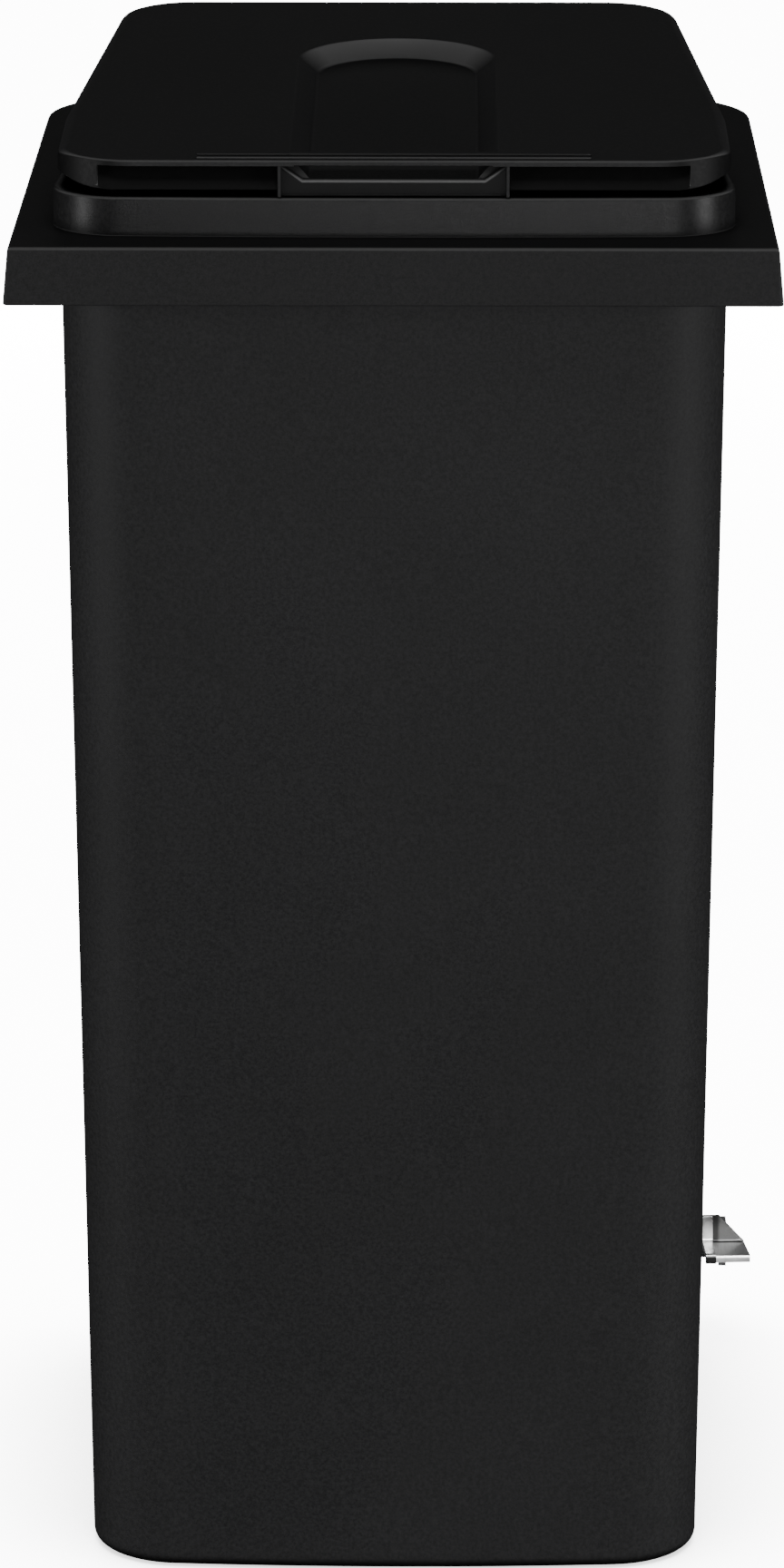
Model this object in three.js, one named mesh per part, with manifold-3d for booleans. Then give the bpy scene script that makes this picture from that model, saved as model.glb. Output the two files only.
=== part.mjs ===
// Two-wheeled 120 litre waste container with a foot pedal that opens its lid.
// Millimetres, +Z up, +Y towards the handle, the pedal on +X. The origin is on the floor,
// on the container's middle plane, half way between the collar's front and the handle's back.
import * as THREE from 'three';
import { mergeVertices } from 'three/addons/utils/BufferGeometryUtils.js';
import Module from 'manifold-3d';

const wasm = await Module();
wasm.setup();

// ---------------------------------------------------------------- driving dimensions

const WIDTH = 480;              // across the collar skirt
const DEPTH = 550;              // collar front to handle back
const COLLAR_TOP = 892;         // height of the collar plate
const SKIRT_HEIGHT = 36;
const SKIRT_DRAFT = 3;          // the skirt leans out by this much towards its lower edge
const COLLAR_REAR_RADIUS = 90;
const WALL = 4;                 // wall of the container moulding
const FLOOR = 5;                // thickness of the container's bottom
const FOOT_EDGE = 8;            // rounding round the bottom
const GAP = 0.3;                // air between pieces that touch
const BODY_SPLIT = 450;         // height where the body's two bands meet

// Body of the container at the floor and at the skirt's lower edge.
const FOOT = { half: 199, front: -215, rear: 172 };
const SHOULDER = { half: 208.5, front: -242, rear: 190 };
const REAR_NARROWING = 14;      // each side, front corner to rear corner
const BODY_FRONT_RADIUS = 58;
const BODY_REAR_RADIUS = 40;
const BODY_BOW = 5;

// Neck band that stands on the collar.
const NECK_HEIGHT = 24.4;
const NECK_WALL = 7;
const NECK = {
  half: 212.7,
  rearHalf: 192,
  front: -238.5,
  rear: 192,
  frontRadius: 45,
  rearRadius: 40,
  bow: 3,
};

// Lid.
const LID_WALL = 3.5;
const LID_EDGE = 921;           // height of the lid's lower edge
const LID_EDGE_RISE = 5;        // the lower edge climbs round the front corners
const LID_FRONT_TOP = 940;
const LID_REAR_TOP = 962;
const LID = {
  half: 209.5,
  rearHalf: 187,
  front: -238.5,
  rear: 240,
  frontRadius: 47,
  rearRadius: 50,
  straight: -100,               // the sides run parallel in front of this Y
};
const LID_SHOULDER = 9;         // rounding along the lid's sides and back
const LIP_HEIGHT = 3.7;         // thickness of the front lip
const GRIP_DEPTH = 12;          // how far fingers reach in under the lip
const GRIP_HALF = 183;
const GRIP_RIB_X = 70.5;
const GRIP_RIB_WIDTH = 2.2;
const SCOOP_HALF = 54;          // scoop in the lid, at its floor
const SCOOP_SLOPE = 10;         // how much wider the scoop is at the top, each side
const SCOOP_CENTRE = 52;        // centre of the scoop's round end
const SCOOP_FRONT_FLOOR = 927;
const SCOOP_REAR_FLOOR = 945;
const SCOOP_WALL = 3;
const BAR_DEPTH = 24;           // bar that bridges the scoop at the front
const BAR_HALF = 72;
const RIDGE = { half: 122, width: 3.5, height: 1.4, offsets: [4, 13] };

// Lid hinge and its stations on both sides.
const HINGE = { y: 205, z: 922 };
const HINGE_PIN_RADIUS = 6;
const LUG_RADIUS = 13;
const LUG_THICKNESS = 8;
const LUG_INNER_X = 70;
const LUG_OUTER_X = 106;

// Handle bar and the gap in the collar in front of it.
const HANDLE_RADIUS = 14;
const HANDLE_HALF = 150;
const HANDLE_GAP_FRONT = 196;
const CHEEK = 6;                // plate that closes each rear corner of the collar

// Ribs of the comb lift, between the skirt and the body.
const COMB_PITCH = 60;
const RIB_HALF = 1.5;

// Axle and wheels.
const AXLE = { y: 140, z: 100 };
const AXLE_RADIUS = 10;
const AXLE_HALF = 198;
const CAP_RADIUS = 17;
const WHEEL_RADIUS = 100;
const WHEEL_X = 178;
const TYRE_HALF_WIDTH = 22;
const HUB_RADIUS = 78;
const WHEEL_CLEARANCE = 12;
const WHEEL_BAY_X = 150;
const AXLE_BAY = { front: 112, roof: 132 };
const WEB_THICKNESS = 6;
const WEB_X = [40, 112];

// Linkage: the pedal pivots on the axle and pulls the lid crank down through a rod.
const LID_TRAVEL = THREE.MathUtils.degToRad(75);
const PEDAL_TRAVEL = THREE.MathUtils.degToRad(17.45);
const CRANK_LENGTH = 20.5;
const ROD_RADIUS = 4;
const ROD_X = 140;
const ARM_X = [60, 130];
const ARM_THICKNESS = 5;
const BUSH_RADIUS = 13;
const ROD_PLAY = 1.2;           // round the rod's hook in the arm's slot
const SLOT_LENGTH = 5;
const TUBE = { left: 52, right: 229.1, front: 255.5, rear: 275, bottom: 50, top: 76, wall: 2.5 };
const PEDAL_SHEET = 2.5;
const TREAD = { left: 217.2, right: 249, front: 224.3, rear: 254.4, top: 63 };
const TREAD_TAPER = 1.8;        // the tread is this much narrower at the back
const TREAD_LIP = 5.3;
const UPSTAND_HEIGHT = 19.5;
const UPSTAND_LEVEL = 12.2;     // length of the upstand's top before it slopes down
const DOUBLER = { width: 7.4, sheet: 1.2, lip: 6 };
const END_PLATE = { thickness: 5.3, drop: 5.7 };
const PEDAL_TOE_OUT = THREE.MathUtils.degToRad(3.3);
const GUIDE_Z = 500;

// ---------------------------------------------------------------- materials

const finish = (color, roughness, metalness) =>
  () => new THREE.MeshStandardMaterial({ color, roughness, metalness });
const blackPlastic = finish(0x232324, 0.55, 0);
const greyNylon = finish(0x8a8c8e, 0.5, 0);
const rubber = finish(0x161616, 0.85, 0);
const zincSteel = finish(0xb9bcc0, 0.35, 1);
const darkSteel = finish(0x77797c, 0.4, 1);

// ---------------------------------------------------------------- helpers

function solid(geometry) {
  const bare = geometry.clone();
  bare.deleteAttribute('normal');
  bare.deleteAttribute('uv');
  const merged = mergeVertices(bare);
  return new wasm.Manifold(new wasm.Mesh({
    numProp: 3,
    vertProperties: new Float32Array(merged.attributes.position.array),
    triVerts: new Uint32Array(merged.index.array),
  }));
}

function toGeometry(manifold) {
  const mesh = manifold.getMesh();
  const geometry = new THREE.BufferGeometry();
  geometry.setAttribute('position', new THREE.BufferAttribute(mesh.vertProperties, 3));
  geometry.setIndex(new THREE.BufferAttribute(mesh.triVerts, 1));
  geometry.computeVertexNormals();
  return geometry;
}

// Limits along X from distance `a` to distance `b` on one side of the middle plane.
const span = (side, a, b) => [side * a, side * b].sort((p, q) => p - q);

const unite = (...pieces) => pieces.flat().reduce((sum, piece) => sum.add(piece));
const cut = (body, ...tools) => tools.flat().reduce((rest, tool) => rest.subtract(tool), body);

function box([x0, x1], [y0, y1], [z0, z1]) {
  const geometry = new THREE.BoxGeometry(x1 - x0, y1 - y0, z1 - z0);
  return solid(geometry.translate((x0 + x1) / 2, (y0 + y1) / 2, (z0 + z1) / 2));
}

// Round bar along X between two planes.
function barX(radius, [x0, x1], { y, z }, segments = 24) {
  const geometry = new THREE.CylinderGeometry(radius, radius, x1 - x0, segments);
  return solid(geometry.rotateZ(-Math.PI / 2).translate((x0 + x1) / 2, y, z));
}

function barY(radius, [y0, y1], { x, z }, segments = 16) {
  const geometry = new THREE.CylinderGeometry(radius, radius, y1 - y0, segments);
  return solid(geometry.translate(x, (y0 + y1) / 2, z));
}

function barZ(radius, [z0, z1], { x, y }, segments = 16) {
  const geometry = new THREE.CylinderGeometry(radius, radius, z1 - z0, segments);
  return solid(geometry.rotateX(Math.PI / 2).translate(x, y, (z0 + z1) / 2));
}

// Closed ring turned about the X axis from [radius, x] points that run round the section.
function turned(profile, { y, z }, segments = 48) {
  const points = [...profile, profile[0]].map(([radius, x]) => new THREE.Vector2(radius, x));
  const geometry = new THREE.LatheGeometry(points, segments);
  return solid(geometry.rotateZ(-Math.PI / 2).translate(0, y, z));
}

// Flat plate square to X, its outline given as [y, z] points or as a Shape.
function plateX(outlineYZ, [x0, x1], curveSegments = 12) {
  const shape = outlineYZ instanceof THREE.Shape
    ? outlineYZ
    : new THREE.Shape(outlineYZ.map(([y, z]) => new THREE.Vector2(y, z)));
  const options = { depth: x1 - x0, bevelEnabled: false, curveSegments };
  const geometry = new THREE.ExtrudeGeometry(shape, options);
  const turn = new THREE.Matrix4().set(0, 0, 1, x0, 1, 0, 0, 0, 0, 1, 0, 0, 0, 0, 0, 1);
  return solid(geometry.applyMatrix4(turn));
}

// Flat plate with an (x, z) outline, between two planes square to Y.
function plateY(points, [y0, y1]) {
  const shape = new THREE.Shape(points.map(([x, z]) => new THREE.Vector2(x, z)));
  const geometry = new THREE.ExtrudeGeometry(shape, { depth: y1 - y0, bevelEnabled: false });
  return solid(geometry.rotateX(Math.PI / 2).translate(0, y1, 0));
}

// Plan outline with round corners. `front` is the foremost point of a front that may bow out.
function planOutline(plan) {
  const { half, rearHalf = half, front, rear, frontRadius, rearRadius, bow = 0, straight } = plan;
  const shape = new THREE.Shape();
  const corner = front + bow;
  shape.moveTo(-half + frontRadius, corner);
  if (bow > 0) shape.quadraticCurveTo(0, corner - 2 * bow, half - frontRadius, corner);
  else shape.lineTo(half - frontRadius, corner);
  const inner = half - frontRadius;
  const turnY = corner + frontRadius;
  if (frontRadius > 0) shape.absarc(inner, turnY, frontRadius, -Math.PI / 2, 0);
  if (straight !== undefined) shape.lineTo(half, straight);
  shape.absarc(rearHalf - rearRadius, rear - rearRadius, rearRadius, 0, Math.PI / 2);
  shape.absarc(-rearHalf + rearRadius, rear - rearRadius, rearRadius, Math.PI / 2, Math.PI);
  if (straight !== undefined) shape.lineTo(-half, straight);
  if (frontRadius > 0) shape.absarc(-inner, turnY, frontRadius, Math.PI, 1.5 * Math.PI);
  return shape;
}

// Solid made of one outline repeated at several levels; each level maps x, y to a point.
function stack(shape, levels, curveSegments = 6) {
  const steps = levels.length - 1;
  const options = { depth: steps, steps, bevelEnabled: false, curveSegments };
  const geometry = new THREE.ExtrudeGeometry(shape, options);
  const position = geometry.attributes.position;
  for (let i = 0; i < position.count; i += 1) {
    const level = levels[Math.round(position.getZ(i))];
    const [x, y, z] = level(position.getX(i), position.getY(i));
    position.setXYZ(i, x, y, z);
  }
  return solid(geometry);
}

// Level that fits the outline `base` to another half width, front and rear, at a height.
function fitted(base, { half, front, rear }, height) {
  return (x, y) => {
    const fittedY = front + ((y - base.front) * (rear - front)) / (base.rear - base.front);
    return [(x * half) / base.half, fittedY, typeof height === 'function' ? height(fittedY) : height];
  };
}

const inset = ({ half, front, rear }, amount, frontAmount = amount) =>
  ({ half: half - amount, front: front + frontAmount, rear: rear - amount });

// ---------------------------------------------------------------- container

const SKIRT_BOTTOM = COLLAR_TOP - SKIRT_HEIGHT;
const PLATE_UNDER = COLLAR_TOP - WALL;
const NECK_TOP = COLLAR_TOP + NECK_HEIGHT;

// Half width, front and rear of the tapered body at a height.
function bodyAt(z) {
  const t = z / SKIRT_BOTTOM;
  const at = (key) => THREE.MathUtils.lerp(FOOT[key], SHOULDER[key], t);
  return { half: at('half'), front: at('front'), rear: at('rear') };
}

const BODY = {
  ...SHOULDER,
  rearHalf: SHOULDER.half - REAR_NARROWING,
  frontRadius: BODY_FRONT_RADIUS,
  rearRadius: BODY_REAR_RADIUS,
  bow: BODY_BOW,
};

// Body of the container shrunk by `thickness`, with the rounding round its bottom.
function bodySolid(thickness, bottom, top) {
  const levels = [0, 0.5, 1].map((turn) => {
    const angle = (turn * Math.PI) / 2;
    const z = bottom + FOOT_EDGE * (1 - Math.cos(angle));
    return fitted(BODY, inset(bodyAt(z), thickness + FOOT_EDGE * (1 - Math.sin(angle))), z);
  });
  levels.push(fitted(BODY, inset(bodyAt(top), thickness), top));
  return stack(planOutline(BODY), levels);
}

// Arched room for one wheel, grown by `extra`.
function wheelBay(side, extra) {
  const reach = WHEEL_RADIUS + WHEEL_CLEARANCE + extra;
  const shape = new THREE.Shape();
  shape.moveTo(AXLE.y - reach, -FLOOR * 4);
  shape.lineTo(AXLE.y + reach, -FLOOR * 4);
  shape.lineTo(AXLE.y + reach, AXLE.z);
  shape.absarc(AXLE.y, AXLE.z, reach, 0, Math.PI);
  const inner = WHEEL_BAY_X - extra;
  return plateX(shape, side > 0 ? [inner, WIDTH / 2] : [-WIDTH / 2, -inner], 14);
}

// Room for the axle between the two wheels, grown by `extra`.
const axleBay = (extra) => box(
  [-WHEEL_BAY_X, WHEEL_BAY_X],
  [AXLE_BAY.front - extra, DEPTH / 2],
  [-FLOOR * 4, AXLE_BAY.roof + extra],
);

// Collar plate with its hanging skirt, cut away behind for the handle.
function collar() {
  const low = { half: WIDTH / 2, front: -DEPTH / 2, rear: DEPTH / 2 };
  const base = { ...low, frontRadius: 0, rearRadius: COLLAR_REAR_RADIUS };
  const high = inset(low, SKIRT_DRAFT);
  const outer = stack(planOutline(base), [
    fitted(base, low, SKIRT_BOTTOM),
    fitted(base, high, COLLAR_TOP),
  ], 10);
  const hollow = stack(planOutline(base), [
    fitted(base, inset(low, WALL), SKIRT_BOTTOM - 1),
    fitted(base, inset(high, WALL), PLATE_UNDER),
  ], 10);
  const handleGap = box(
    [-HANDLE_HALF, HANDLE_HALF],
    [HANDLE_GAP_FRONT, DEPTH],
    [SKIRT_BOTTOM - 1, COLLAR_TOP + 1],
  );
  return cut(outer, hollow, handleGap);
}

// Plates that close the collar's rear corners, where the handle bar ends.
function cheeks() {
  const height = [SKIRT_BOTTOM + 2, COLLAR_TOP - 1];
  const depth = [HANDLE_GAP_FRONT - WALL, DEPTH / 2 - HANDLE_RADIUS / 2];
  return [-1, 1].map((side) => box(span(side, HANDLE_HALF, HANDLE_HALF + CHEEK), depth, height));
}

// Rim of the container: collar, neck band on top of it, and the mouth through both.
function containerRim() {
  const neck = stack(planOutline(NECK), [
    fitted(NECK, NECK, PLATE_UNDER),
    fitted(NECK, NECK, NECK_TOP),
  ]);
  const mouth = stack(planOutline(NECK), [
    fitted(NECK, inset(NECK, NECK_WALL), PLATE_UNDER - 1),
    fitted(NECK, inset(NECK, NECK_WALL), NECK_TOP + 1),
  ]);
  return cut(unite(collar(), neck, cheeks()), mouth);
}

// Ribs under the front of the collar; the teeth of a lifting comb go up between them.
const COMB_RIBS = Array.from({ length: 8 }, (_, i) => (i - 3.5) * COMB_PITCH);

function combRib(x) {
  const depth = [-DEPTH / 2 + SKIRT_DRAFT + WALL, SHOULDER.front - 2];
  return box([x - RIB_HALF, x + RIB_HALF], depth, [SKIRT_BOTTOM + 4, PLATE_UNDER - GAP]);
}

// Handle bar, and the four lugs of the hinge, each on a bridge that runs to the bar.
function handleBar() {
  const centre = { y: DEPTH / 2 - HANDLE_RADIUS, z: COLLAR_TOP - HANDLE_RADIUS };
  const pieces = [barX(HANDLE_RADIUS, [-HANDLE_HALF + GAP, HANDLE_HALF - GAP], centre, 28)];
  for (const side of [-1, 1]) {
    for (const start of [LUG_INNER_X, LUG_OUTER_X]) {
      const reach = span(side, start, start + LUG_THICKNESS);
      const bridge = [HANDLE_GAP_FRONT + GAP, DEPTH / 2 - 1.5 * HANDLE_RADIUS];
      const upright = [HINGE.y - LUG_RADIUS, HINGE.y + LUG_RADIUS];
      pieces.push(box(reach, bridge, [SKIRT_BOTTOM + 10, COLLAR_TOP + 2]));
      pieces.push(box(reach, upright, [COLLAR_TOP + GAP, HINGE.z]));
      pieces.push(barX(LUG_RADIUS, reach, HINGE));
    }
  }
  return cut(unite(pieces), barX(HINGE_PIN_RADIUS + GAP, [-WIDTH / 2, WIDTH / 2], HINGE));
}

// Webs in the axle bay that carry the axle.
function axleWebs() {
  return WEB_X.flatMap((x) => [-x, x]).flatMap((x) => {
    const reach = [x - WEB_THICKNESS / 2, x + WEB_THICKNESS / 2];
    const shoulder = 16;
    return [
      box(reach, [AXLE_BAY.front - 1, AXLE.y + shoulder], [AXLE.z, AXLE_BAY.roof + 1]),
      box(reach, [AXLE_BAY.front - 1, AXLE.y], [AXLE.z - shoulder, AXLE_BAY.roof]),
      barX(shoulder, reach, AXLE, 24),
    ];
  });
}

const guideScrewX = [-24, 24].map((offset) => ROD_X - 4 + offset);

// Tapered body with its wheel and axle bays, open at the top under the collar.
function containerBody() {
  const bays = [wheelBay(-1, 0), wheelBay(1, 0), axleBay(0)];
  const grownBays = [wheelBay(-1, WALL), wheelBay(1, WALL), axleBay(WALL)];
  const outside = cut(bodySolid(0, 0, PLATE_UNDER - GAP), bays);
  const cavity = cut(bodySolid(WALL, FLOOR, COLLAR_TOP), grownBays);
  const shell = unite(cut(outside, cavity), axleWebs());
  const bores = [
    barX(AXLE_RADIUS + GAP, [-WHEEL_BAY_X, WHEEL_BAY_X], AXLE),
    ...guideScrewX.map((x) => barY(2.5, [SHOULDER.rear - 30, SHOULDER.rear + 10], { x, z: GUIDE_Z })),
  ];
  return cut(shell, bores);
}

// The part of the body between two heights. The body is one moulding in two bands, a lower
// one with the wheel bays and a plain upper one.
function bodyBand(low, high) {
  const reach = [-WIDTH, WIDTH];
  return containerBody().intersect(box(reach, reach, [low, high]));
}

// ---------------------------------------------------------------- lid

const lidTop = (y) =>
  THREE.MathUtils.mapLinear(y, LID.front, LID.rear, LID_FRONT_TOP, LID_REAR_TOP);
const scoopFloor = (y) => THREE.MathUtils.mapLinear(
  y, LID.front, SCOOP_CENTRE + SCOOP_HALF, SCOOP_FRONT_FLOOR, SCOOP_REAR_FLOOR,
);

// Lid block with rounded shoulders, shrunk by `thickness`, from its lower edge up.
function lidBlock(thickness, bottom) {
  const shrunk = inset(LID, thickness);
  const rise = (y) => LID_EDGE_RISE * THREE.MathUtils.smoothstep(y, LID.front + 1, LID.front + 30);
  const lowEdge = thickness > 0 ? bottom : (y) => bottom + rise(y);
  const levels = [fitted(LID, shrunk, lowEdge)];
  for (const turn of [0, 0.33, 0.67, 1]) {
    const angle = (turn * Math.PI) / 2;
    const side = LID_SHOULDER * (1 - Math.cos(angle));
    const drop = LID_SHOULDER * (1 - Math.sin(angle));
    const target = inset(shrunk, side, Math.min(side, 2) * turn);
    const height = (y) => lidTop(y) - thickness - drop * (y < LID.front + 30 ? 0.3 : 1);
    levels.push(fitted(LID, target, height));
  }
  return stack(planOutline(LID), levels);
}

// Scoop for the hand, open towards the front, grown by `extra`.
function scoop(extra, openTop) {
  const halfLow = SCOOP_HALF + extra;
  const halfHigh = halfLow + SCOOP_SLOPE;
  const front = LID.front - 20;
  const shape = new THREE.Shape();
  shape.moveTo(-halfLow, front);
  shape.lineTo(halfLow, front);
  shape.absarc(0, SCOOP_CENTRE, halfLow, 0, Math.PI);
  const widened = (half, height) => (x, y) => {
    const scale = half / halfLow;
    const pointY = y > SCOOP_CENTRE ? SCOOP_CENTRE + (y - SCOOP_CENTRE) * scale : y;
    return [x * scale, pointY, height(pointY)];
  };
  return stack(shape, [
    widened(halfLow, (y) => scoopFloor(y) - extra),
    widened(halfHigh, (y) => lidTop(y) - 0.2),
    widened(halfHigh, (y) => lidTop(y) + openTop),
  ], 12);
}

// Wedge of air under the front lip, for fingers, grown by `extra`.
function gripWedge(extra) {
  const lipUnder = LID_FRONT_TOP - LIP_HEIGHT;
  const outline = [
    [LID.front - 20, lipUnder],
    [LID.front + GRIP_DEPTH + extra, lipUnder],
    [LID.front + 0.5 + extra, LID_EDGE - 1],
    [LID.front - 20, LID_EDGE - 1],
  ];
  return plateX(outline, [-GRIP_HALF - extra, GRIP_HALF + extra]);
}

// Pieces of the grip: two ribs under the bar and the low wall between them.
function gripPieces() {
  const low = NECK_TOP + GAP;
  const back = LID.front + GRIP_DEPTH + 3;
  const rib = [GRIP_RIB_X - GRIP_RIB_WIDTH / 2, GRIP_RIB_X + GRIP_RIB_WIDTH / 2];
  const ribs = [-1, 1].map((side) =>
    box(span(side, ...rib), [LID.front + 0.6, back], [low, LID_FRONT_TOP - 1]));
  const under = LID_FRONT_TOP - LIP_HEIGHT - GAP;
  const foot = SCOOP_HALF + 2;
  const wall = plateY([
    [-GRIP_RIB_X, low],
    [GRIP_RIB_X, low],
    [GRIP_RIB_X, under],
    [GRIP_RIB_X - 2, under],
    [foot, SCOOP_FRONT_FLOOR],
    [-foot, SCOOP_FRONT_FLOOR],
    [-GRIP_RIB_X + 2, under],
    [-GRIP_RIB_X, under],
  ], [LID.front + 3, LID.front + 3 + SCOOP_WALL]);
  return [...ribs, wall];
}

// Bar that closes the scoop at the front, and the two low ridges on top of the lid.
function gripBar() {
  const drop = LIP_HEIGHT;
  const outline = planOutline({
    half: BAR_HALF,
    front: LID.front,
    rear: LID.front + BAR_DEPTH,
    frontRadius: 0,
    rearRadius: 1,
  });
  const bar = stack(outline, [
    (x, y) => [x, y, lidTop(y) - drop],
    (x, y) => [x, y, lidTop(y)],
  ], 1);
  const ridges = RIDGE.offsets.map((offset) => box(
    [-RIDGE.half, RIDGE.half],
    [LID.front + offset, LID.front + offset + RIDGE.width],
    [LID_FRONT_TOP - 2, LID_FRONT_TOP + RIDGE.height],
  ));
  return [bar, ...ridges];
}

const KNUCKLE = [LUG_INNER_X + LUG_THICKNESS + 1, LUG_OUTER_X - 1];

function hingeKnuckles() {
  return [-1, 1].flatMap((side) => {
    const reach = span(side, ...KNUCKLE);
    return [
      barX(LUG_RADIUS - 1, reach, HINGE, 24),
      box(reach, [HINGE.y - 9, HINGE.y + 9], [HINGE.z, lidTop(HINGE.y) - 1]),
    ];
  });
}

// Wall inside the lid, in front of the hinges, that closes the gap above the neck.
function rearWall() {
  const y = HINGE.y - 20;
  return box([-LID.rearHalf + 2, LID.rearHalf - 2], [y, y + 3], [NECK_TOP + 1.5, lidTop(y) - 2]);
}

// Block under the lid that the crank plate is screwed to.
const CRANK_SEAT = { x: [116, 158], y: [188, 231], z: 950 };
const CRANK_SCREW_X = 148;
const crankScrewY = [198, 222];

function lid() {
  const rearCut = plateX([[196, 900], [215, 950], [260, 950], [260, 900]], [-WIDTH / 2, WIDTH / 2]);
  const outside = cut(lidBlock(0, LID_EDGE), scoop(0, 20), gripWedge(0));
  const hollow = cut(lidBlock(LID_WALL, LID_EDGE - 1), scoop(SCOOP_WALL, 20), gripWedge(LID_WALL));
  const seat = box(CRANK_SEAT.x, CRANK_SEAT.y, [CRANK_SEAT.z, lidTop(CRANK_SEAT.y[0]) - 1]);
  const shell = cut(outside, hollow, rearCut);
  const whole = unite(shell, gripPieces(), gripBar(), hingeKnuckles(), rearWall(), seat);
  const bores = [
    barX(HINGE_PIN_RADIUS + GAP, [-LUG_OUTER_X, LUG_OUTER_X], HINGE),
    ...crankScrewY.map((y) => barZ(2.8, [CRANK_SEAT.z - 5, CRANK_SEAT.z + 7], { x: CRANK_SCREW_X, y })),
  ];
  return cut(whole, bores);
}

// ---------------------------------------------------------------- wheels and axle

function wheelHub(side) {
  const at = ([radius, offset]) => [radius, side * (WHEEL_X + offset)];
  const bore = AXLE_RADIUS + GAP;
  const rim = HUB_RADIUS - 8;
  const profile = [
    [bore, -26], [22, -26], [22, -4], [rim, -4], [rim, -18], [HUB_RADIUS, -18],
    [HUB_RADIUS, 18], [rim, 18], [rim, 4], [22, 4], [22, 18], [bore, 18],
  ].map(at);
  const disc = turned(side > 0 ? profile : profile.reverse(), AXLE, 40);
  const holes = Array.from({ length: 5 }, (_, i) => {
    const angle = ((i + 0.5) * 2 * Math.PI) / 5;
    const centre = { y: AXLE.y + 46 * Math.cos(angle), z: AXLE.z + 46 * Math.sin(angle) };
    const reach = span(side, WHEEL_X - 8, WHEEL_X + 8);
    return barX(14, reach, centre, 16);
  });
  return cut(disc, holes);
}

function tyre(side) {
  const inner = HUB_RADIUS + GAP;
  const w = TYRE_HALF_WIDTH;
  const profile = [
    [inner, -16], [90, -w], [96, -w + 1], [WHEEL_RADIUS, -w + 7],
    [WHEEL_RADIUS, w - 7], [96, w - 1], [90, w], [inner, 16],
  ].map(([radius, offset]) => [radius, side * (WHEEL_X + offset)]);
  return turned(side > 0 ? profile : profile.reverse(), AXLE, 48);
}

// Plain sleeve, washer or bush about the X axis.
function sleeve(innerRadius, outerRadius, [x0, x1], centre, segments = 24) {
  const profile = [[innerRadius, x0], [outerRadius, x0], [outerRadius, x1], [innerRadius, x1]];
  return turned(profile, centre, segments);
}

const axle = () => barX(AXLE_RADIUS, [-AXLE_HALF, AXLE_HALF], AXLE, 28);

// Push-on cap that holds the wheel on the axle.
function axleCap(side) {
  const plug = AXLE_HALF + GAP;
  const face = WHEEL_X + 18 + GAP;
  return cut(
    barX(CAP_RADIUS, span(side, face, plug + 2.5), AXLE, 28),
    barX(AXLE_RADIUS + GAP, span(side, face - 1, plug), AXLE),
  );
}

function hingePin(side) {
  const start = LUG_INNER_X - 2;
  return unite(
    barX(HINGE_PIN_RADIUS, span(side, start, LUG_OUTER_X + LUG_THICKNESS + 2), HINGE),
    barX(HINGE_PIN_RADIUS + 4, span(side, start - 3, LUG_INNER_X - GAP), HINGE),
  );
}

// ---------------------------------------------------------------- pedal and linkage

// Crank pin on the lid and rod hole in the pedal arm: each swings evenly about level.
const crankAngle = LID_TRAVEL / 2;
const armAngle = PEDAL_TRAVEL / 2;
const CRANK_PIN = {
  y: HINGE.y + CRANK_LENGTH * Math.cos(crankAngle),
  z: HINGE.z + CRANK_LENGTH * Math.sin(crankAngle),
};
const ARM_PIN = {
  y: CRANK_PIN.y,
  z: AXLE.z + (CRANK_PIN.y - AXLE.y) * Math.tan(armAngle),
};
const CRANK_PLATE = [ROD_X - 14, ROD_X - 10];

// Angle plate under the lid; its web carries the hooked end of the rod.
function lidCrank() {
  const top = CRANK_SEAT.z - GAP;
  const flange = box([CRANK_PLATE[0], CRANK_SEAT.x[1] - 2], [190, 229], [top - 3, top]);
  const eye = 8;
  const outlineYZ = [
    [190, top],
    [190, top - 6],
    [CRANK_PIN.y - eye + 1, CRANK_PIN.z - 5],
    [CRANK_PIN.y + eye - 1, CRANK_PIN.z - 5],
    [229, top - 3],
    [229, top],
  ];
  const web = unite(plateX(outlineYZ, CRANK_PLATE), barX(eye, CRANK_PLATE, CRANK_PIN));
  const holes = [
    barX(ROD_RADIUS + GAP, [CRANK_PLATE[0] - 1, CRANK_PLATE[1] + 1], CRANK_PIN),
    ...crankScrewY.map((y) => barZ(3.3, [top - 10, top + 1], { x: CRANK_SCREW_X, y })),
  ];
  return cut(unite(flange, web), holes);
}

// Screw with a round head, pointing up into the lid.
function crankScrew(index) {
  const centre = { x: CRANK_SCREW_X, y: crankScrewY[index] };
  const seat = CRANK_SEAT.z - GAP - 3 - GAP;
  const shank = barZ(2.5, [seat - 1, CRANK_SEAT.z + 6], centre, 14);
  const head = barZ(5, [seat - 3, seat], centre, 18);
  return unite(shank, head);
}

// Round steel rod with a hook at each end that points towards the middle of the container.
function pullRod() {
  const hookEnd = ROD_X - 20;
  const elbow = ({ y, z }) =>
    solid(new THREE.SphereGeometry(ROD_RADIUS, 16, 10).translate(ROD_X, y, z));
  return unite(
    barZ(ROD_RADIUS, [ARM_PIN.z, CRANK_PIN.z], { x: ROD_X, y: CRANK_PIN.y }),
    ...[CRANK_PIN, ARM_PIN].flatMap((pin) => [barX(ROD_RADIUS, [hookEnd, ROD_X], pin, 16), elbow(pin)]),
  );
}

// Push-on cap on the end of a rod hook.
function rodCap(pin) {
  const end = ROD_X - 20 - GAP;
  const body = barX(7, [end - 2, end + 3], pin, 20);
  return cut(body, barX(ROD_RADIUS + GAP, [end, end + 4], pin, 16));
}

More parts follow.
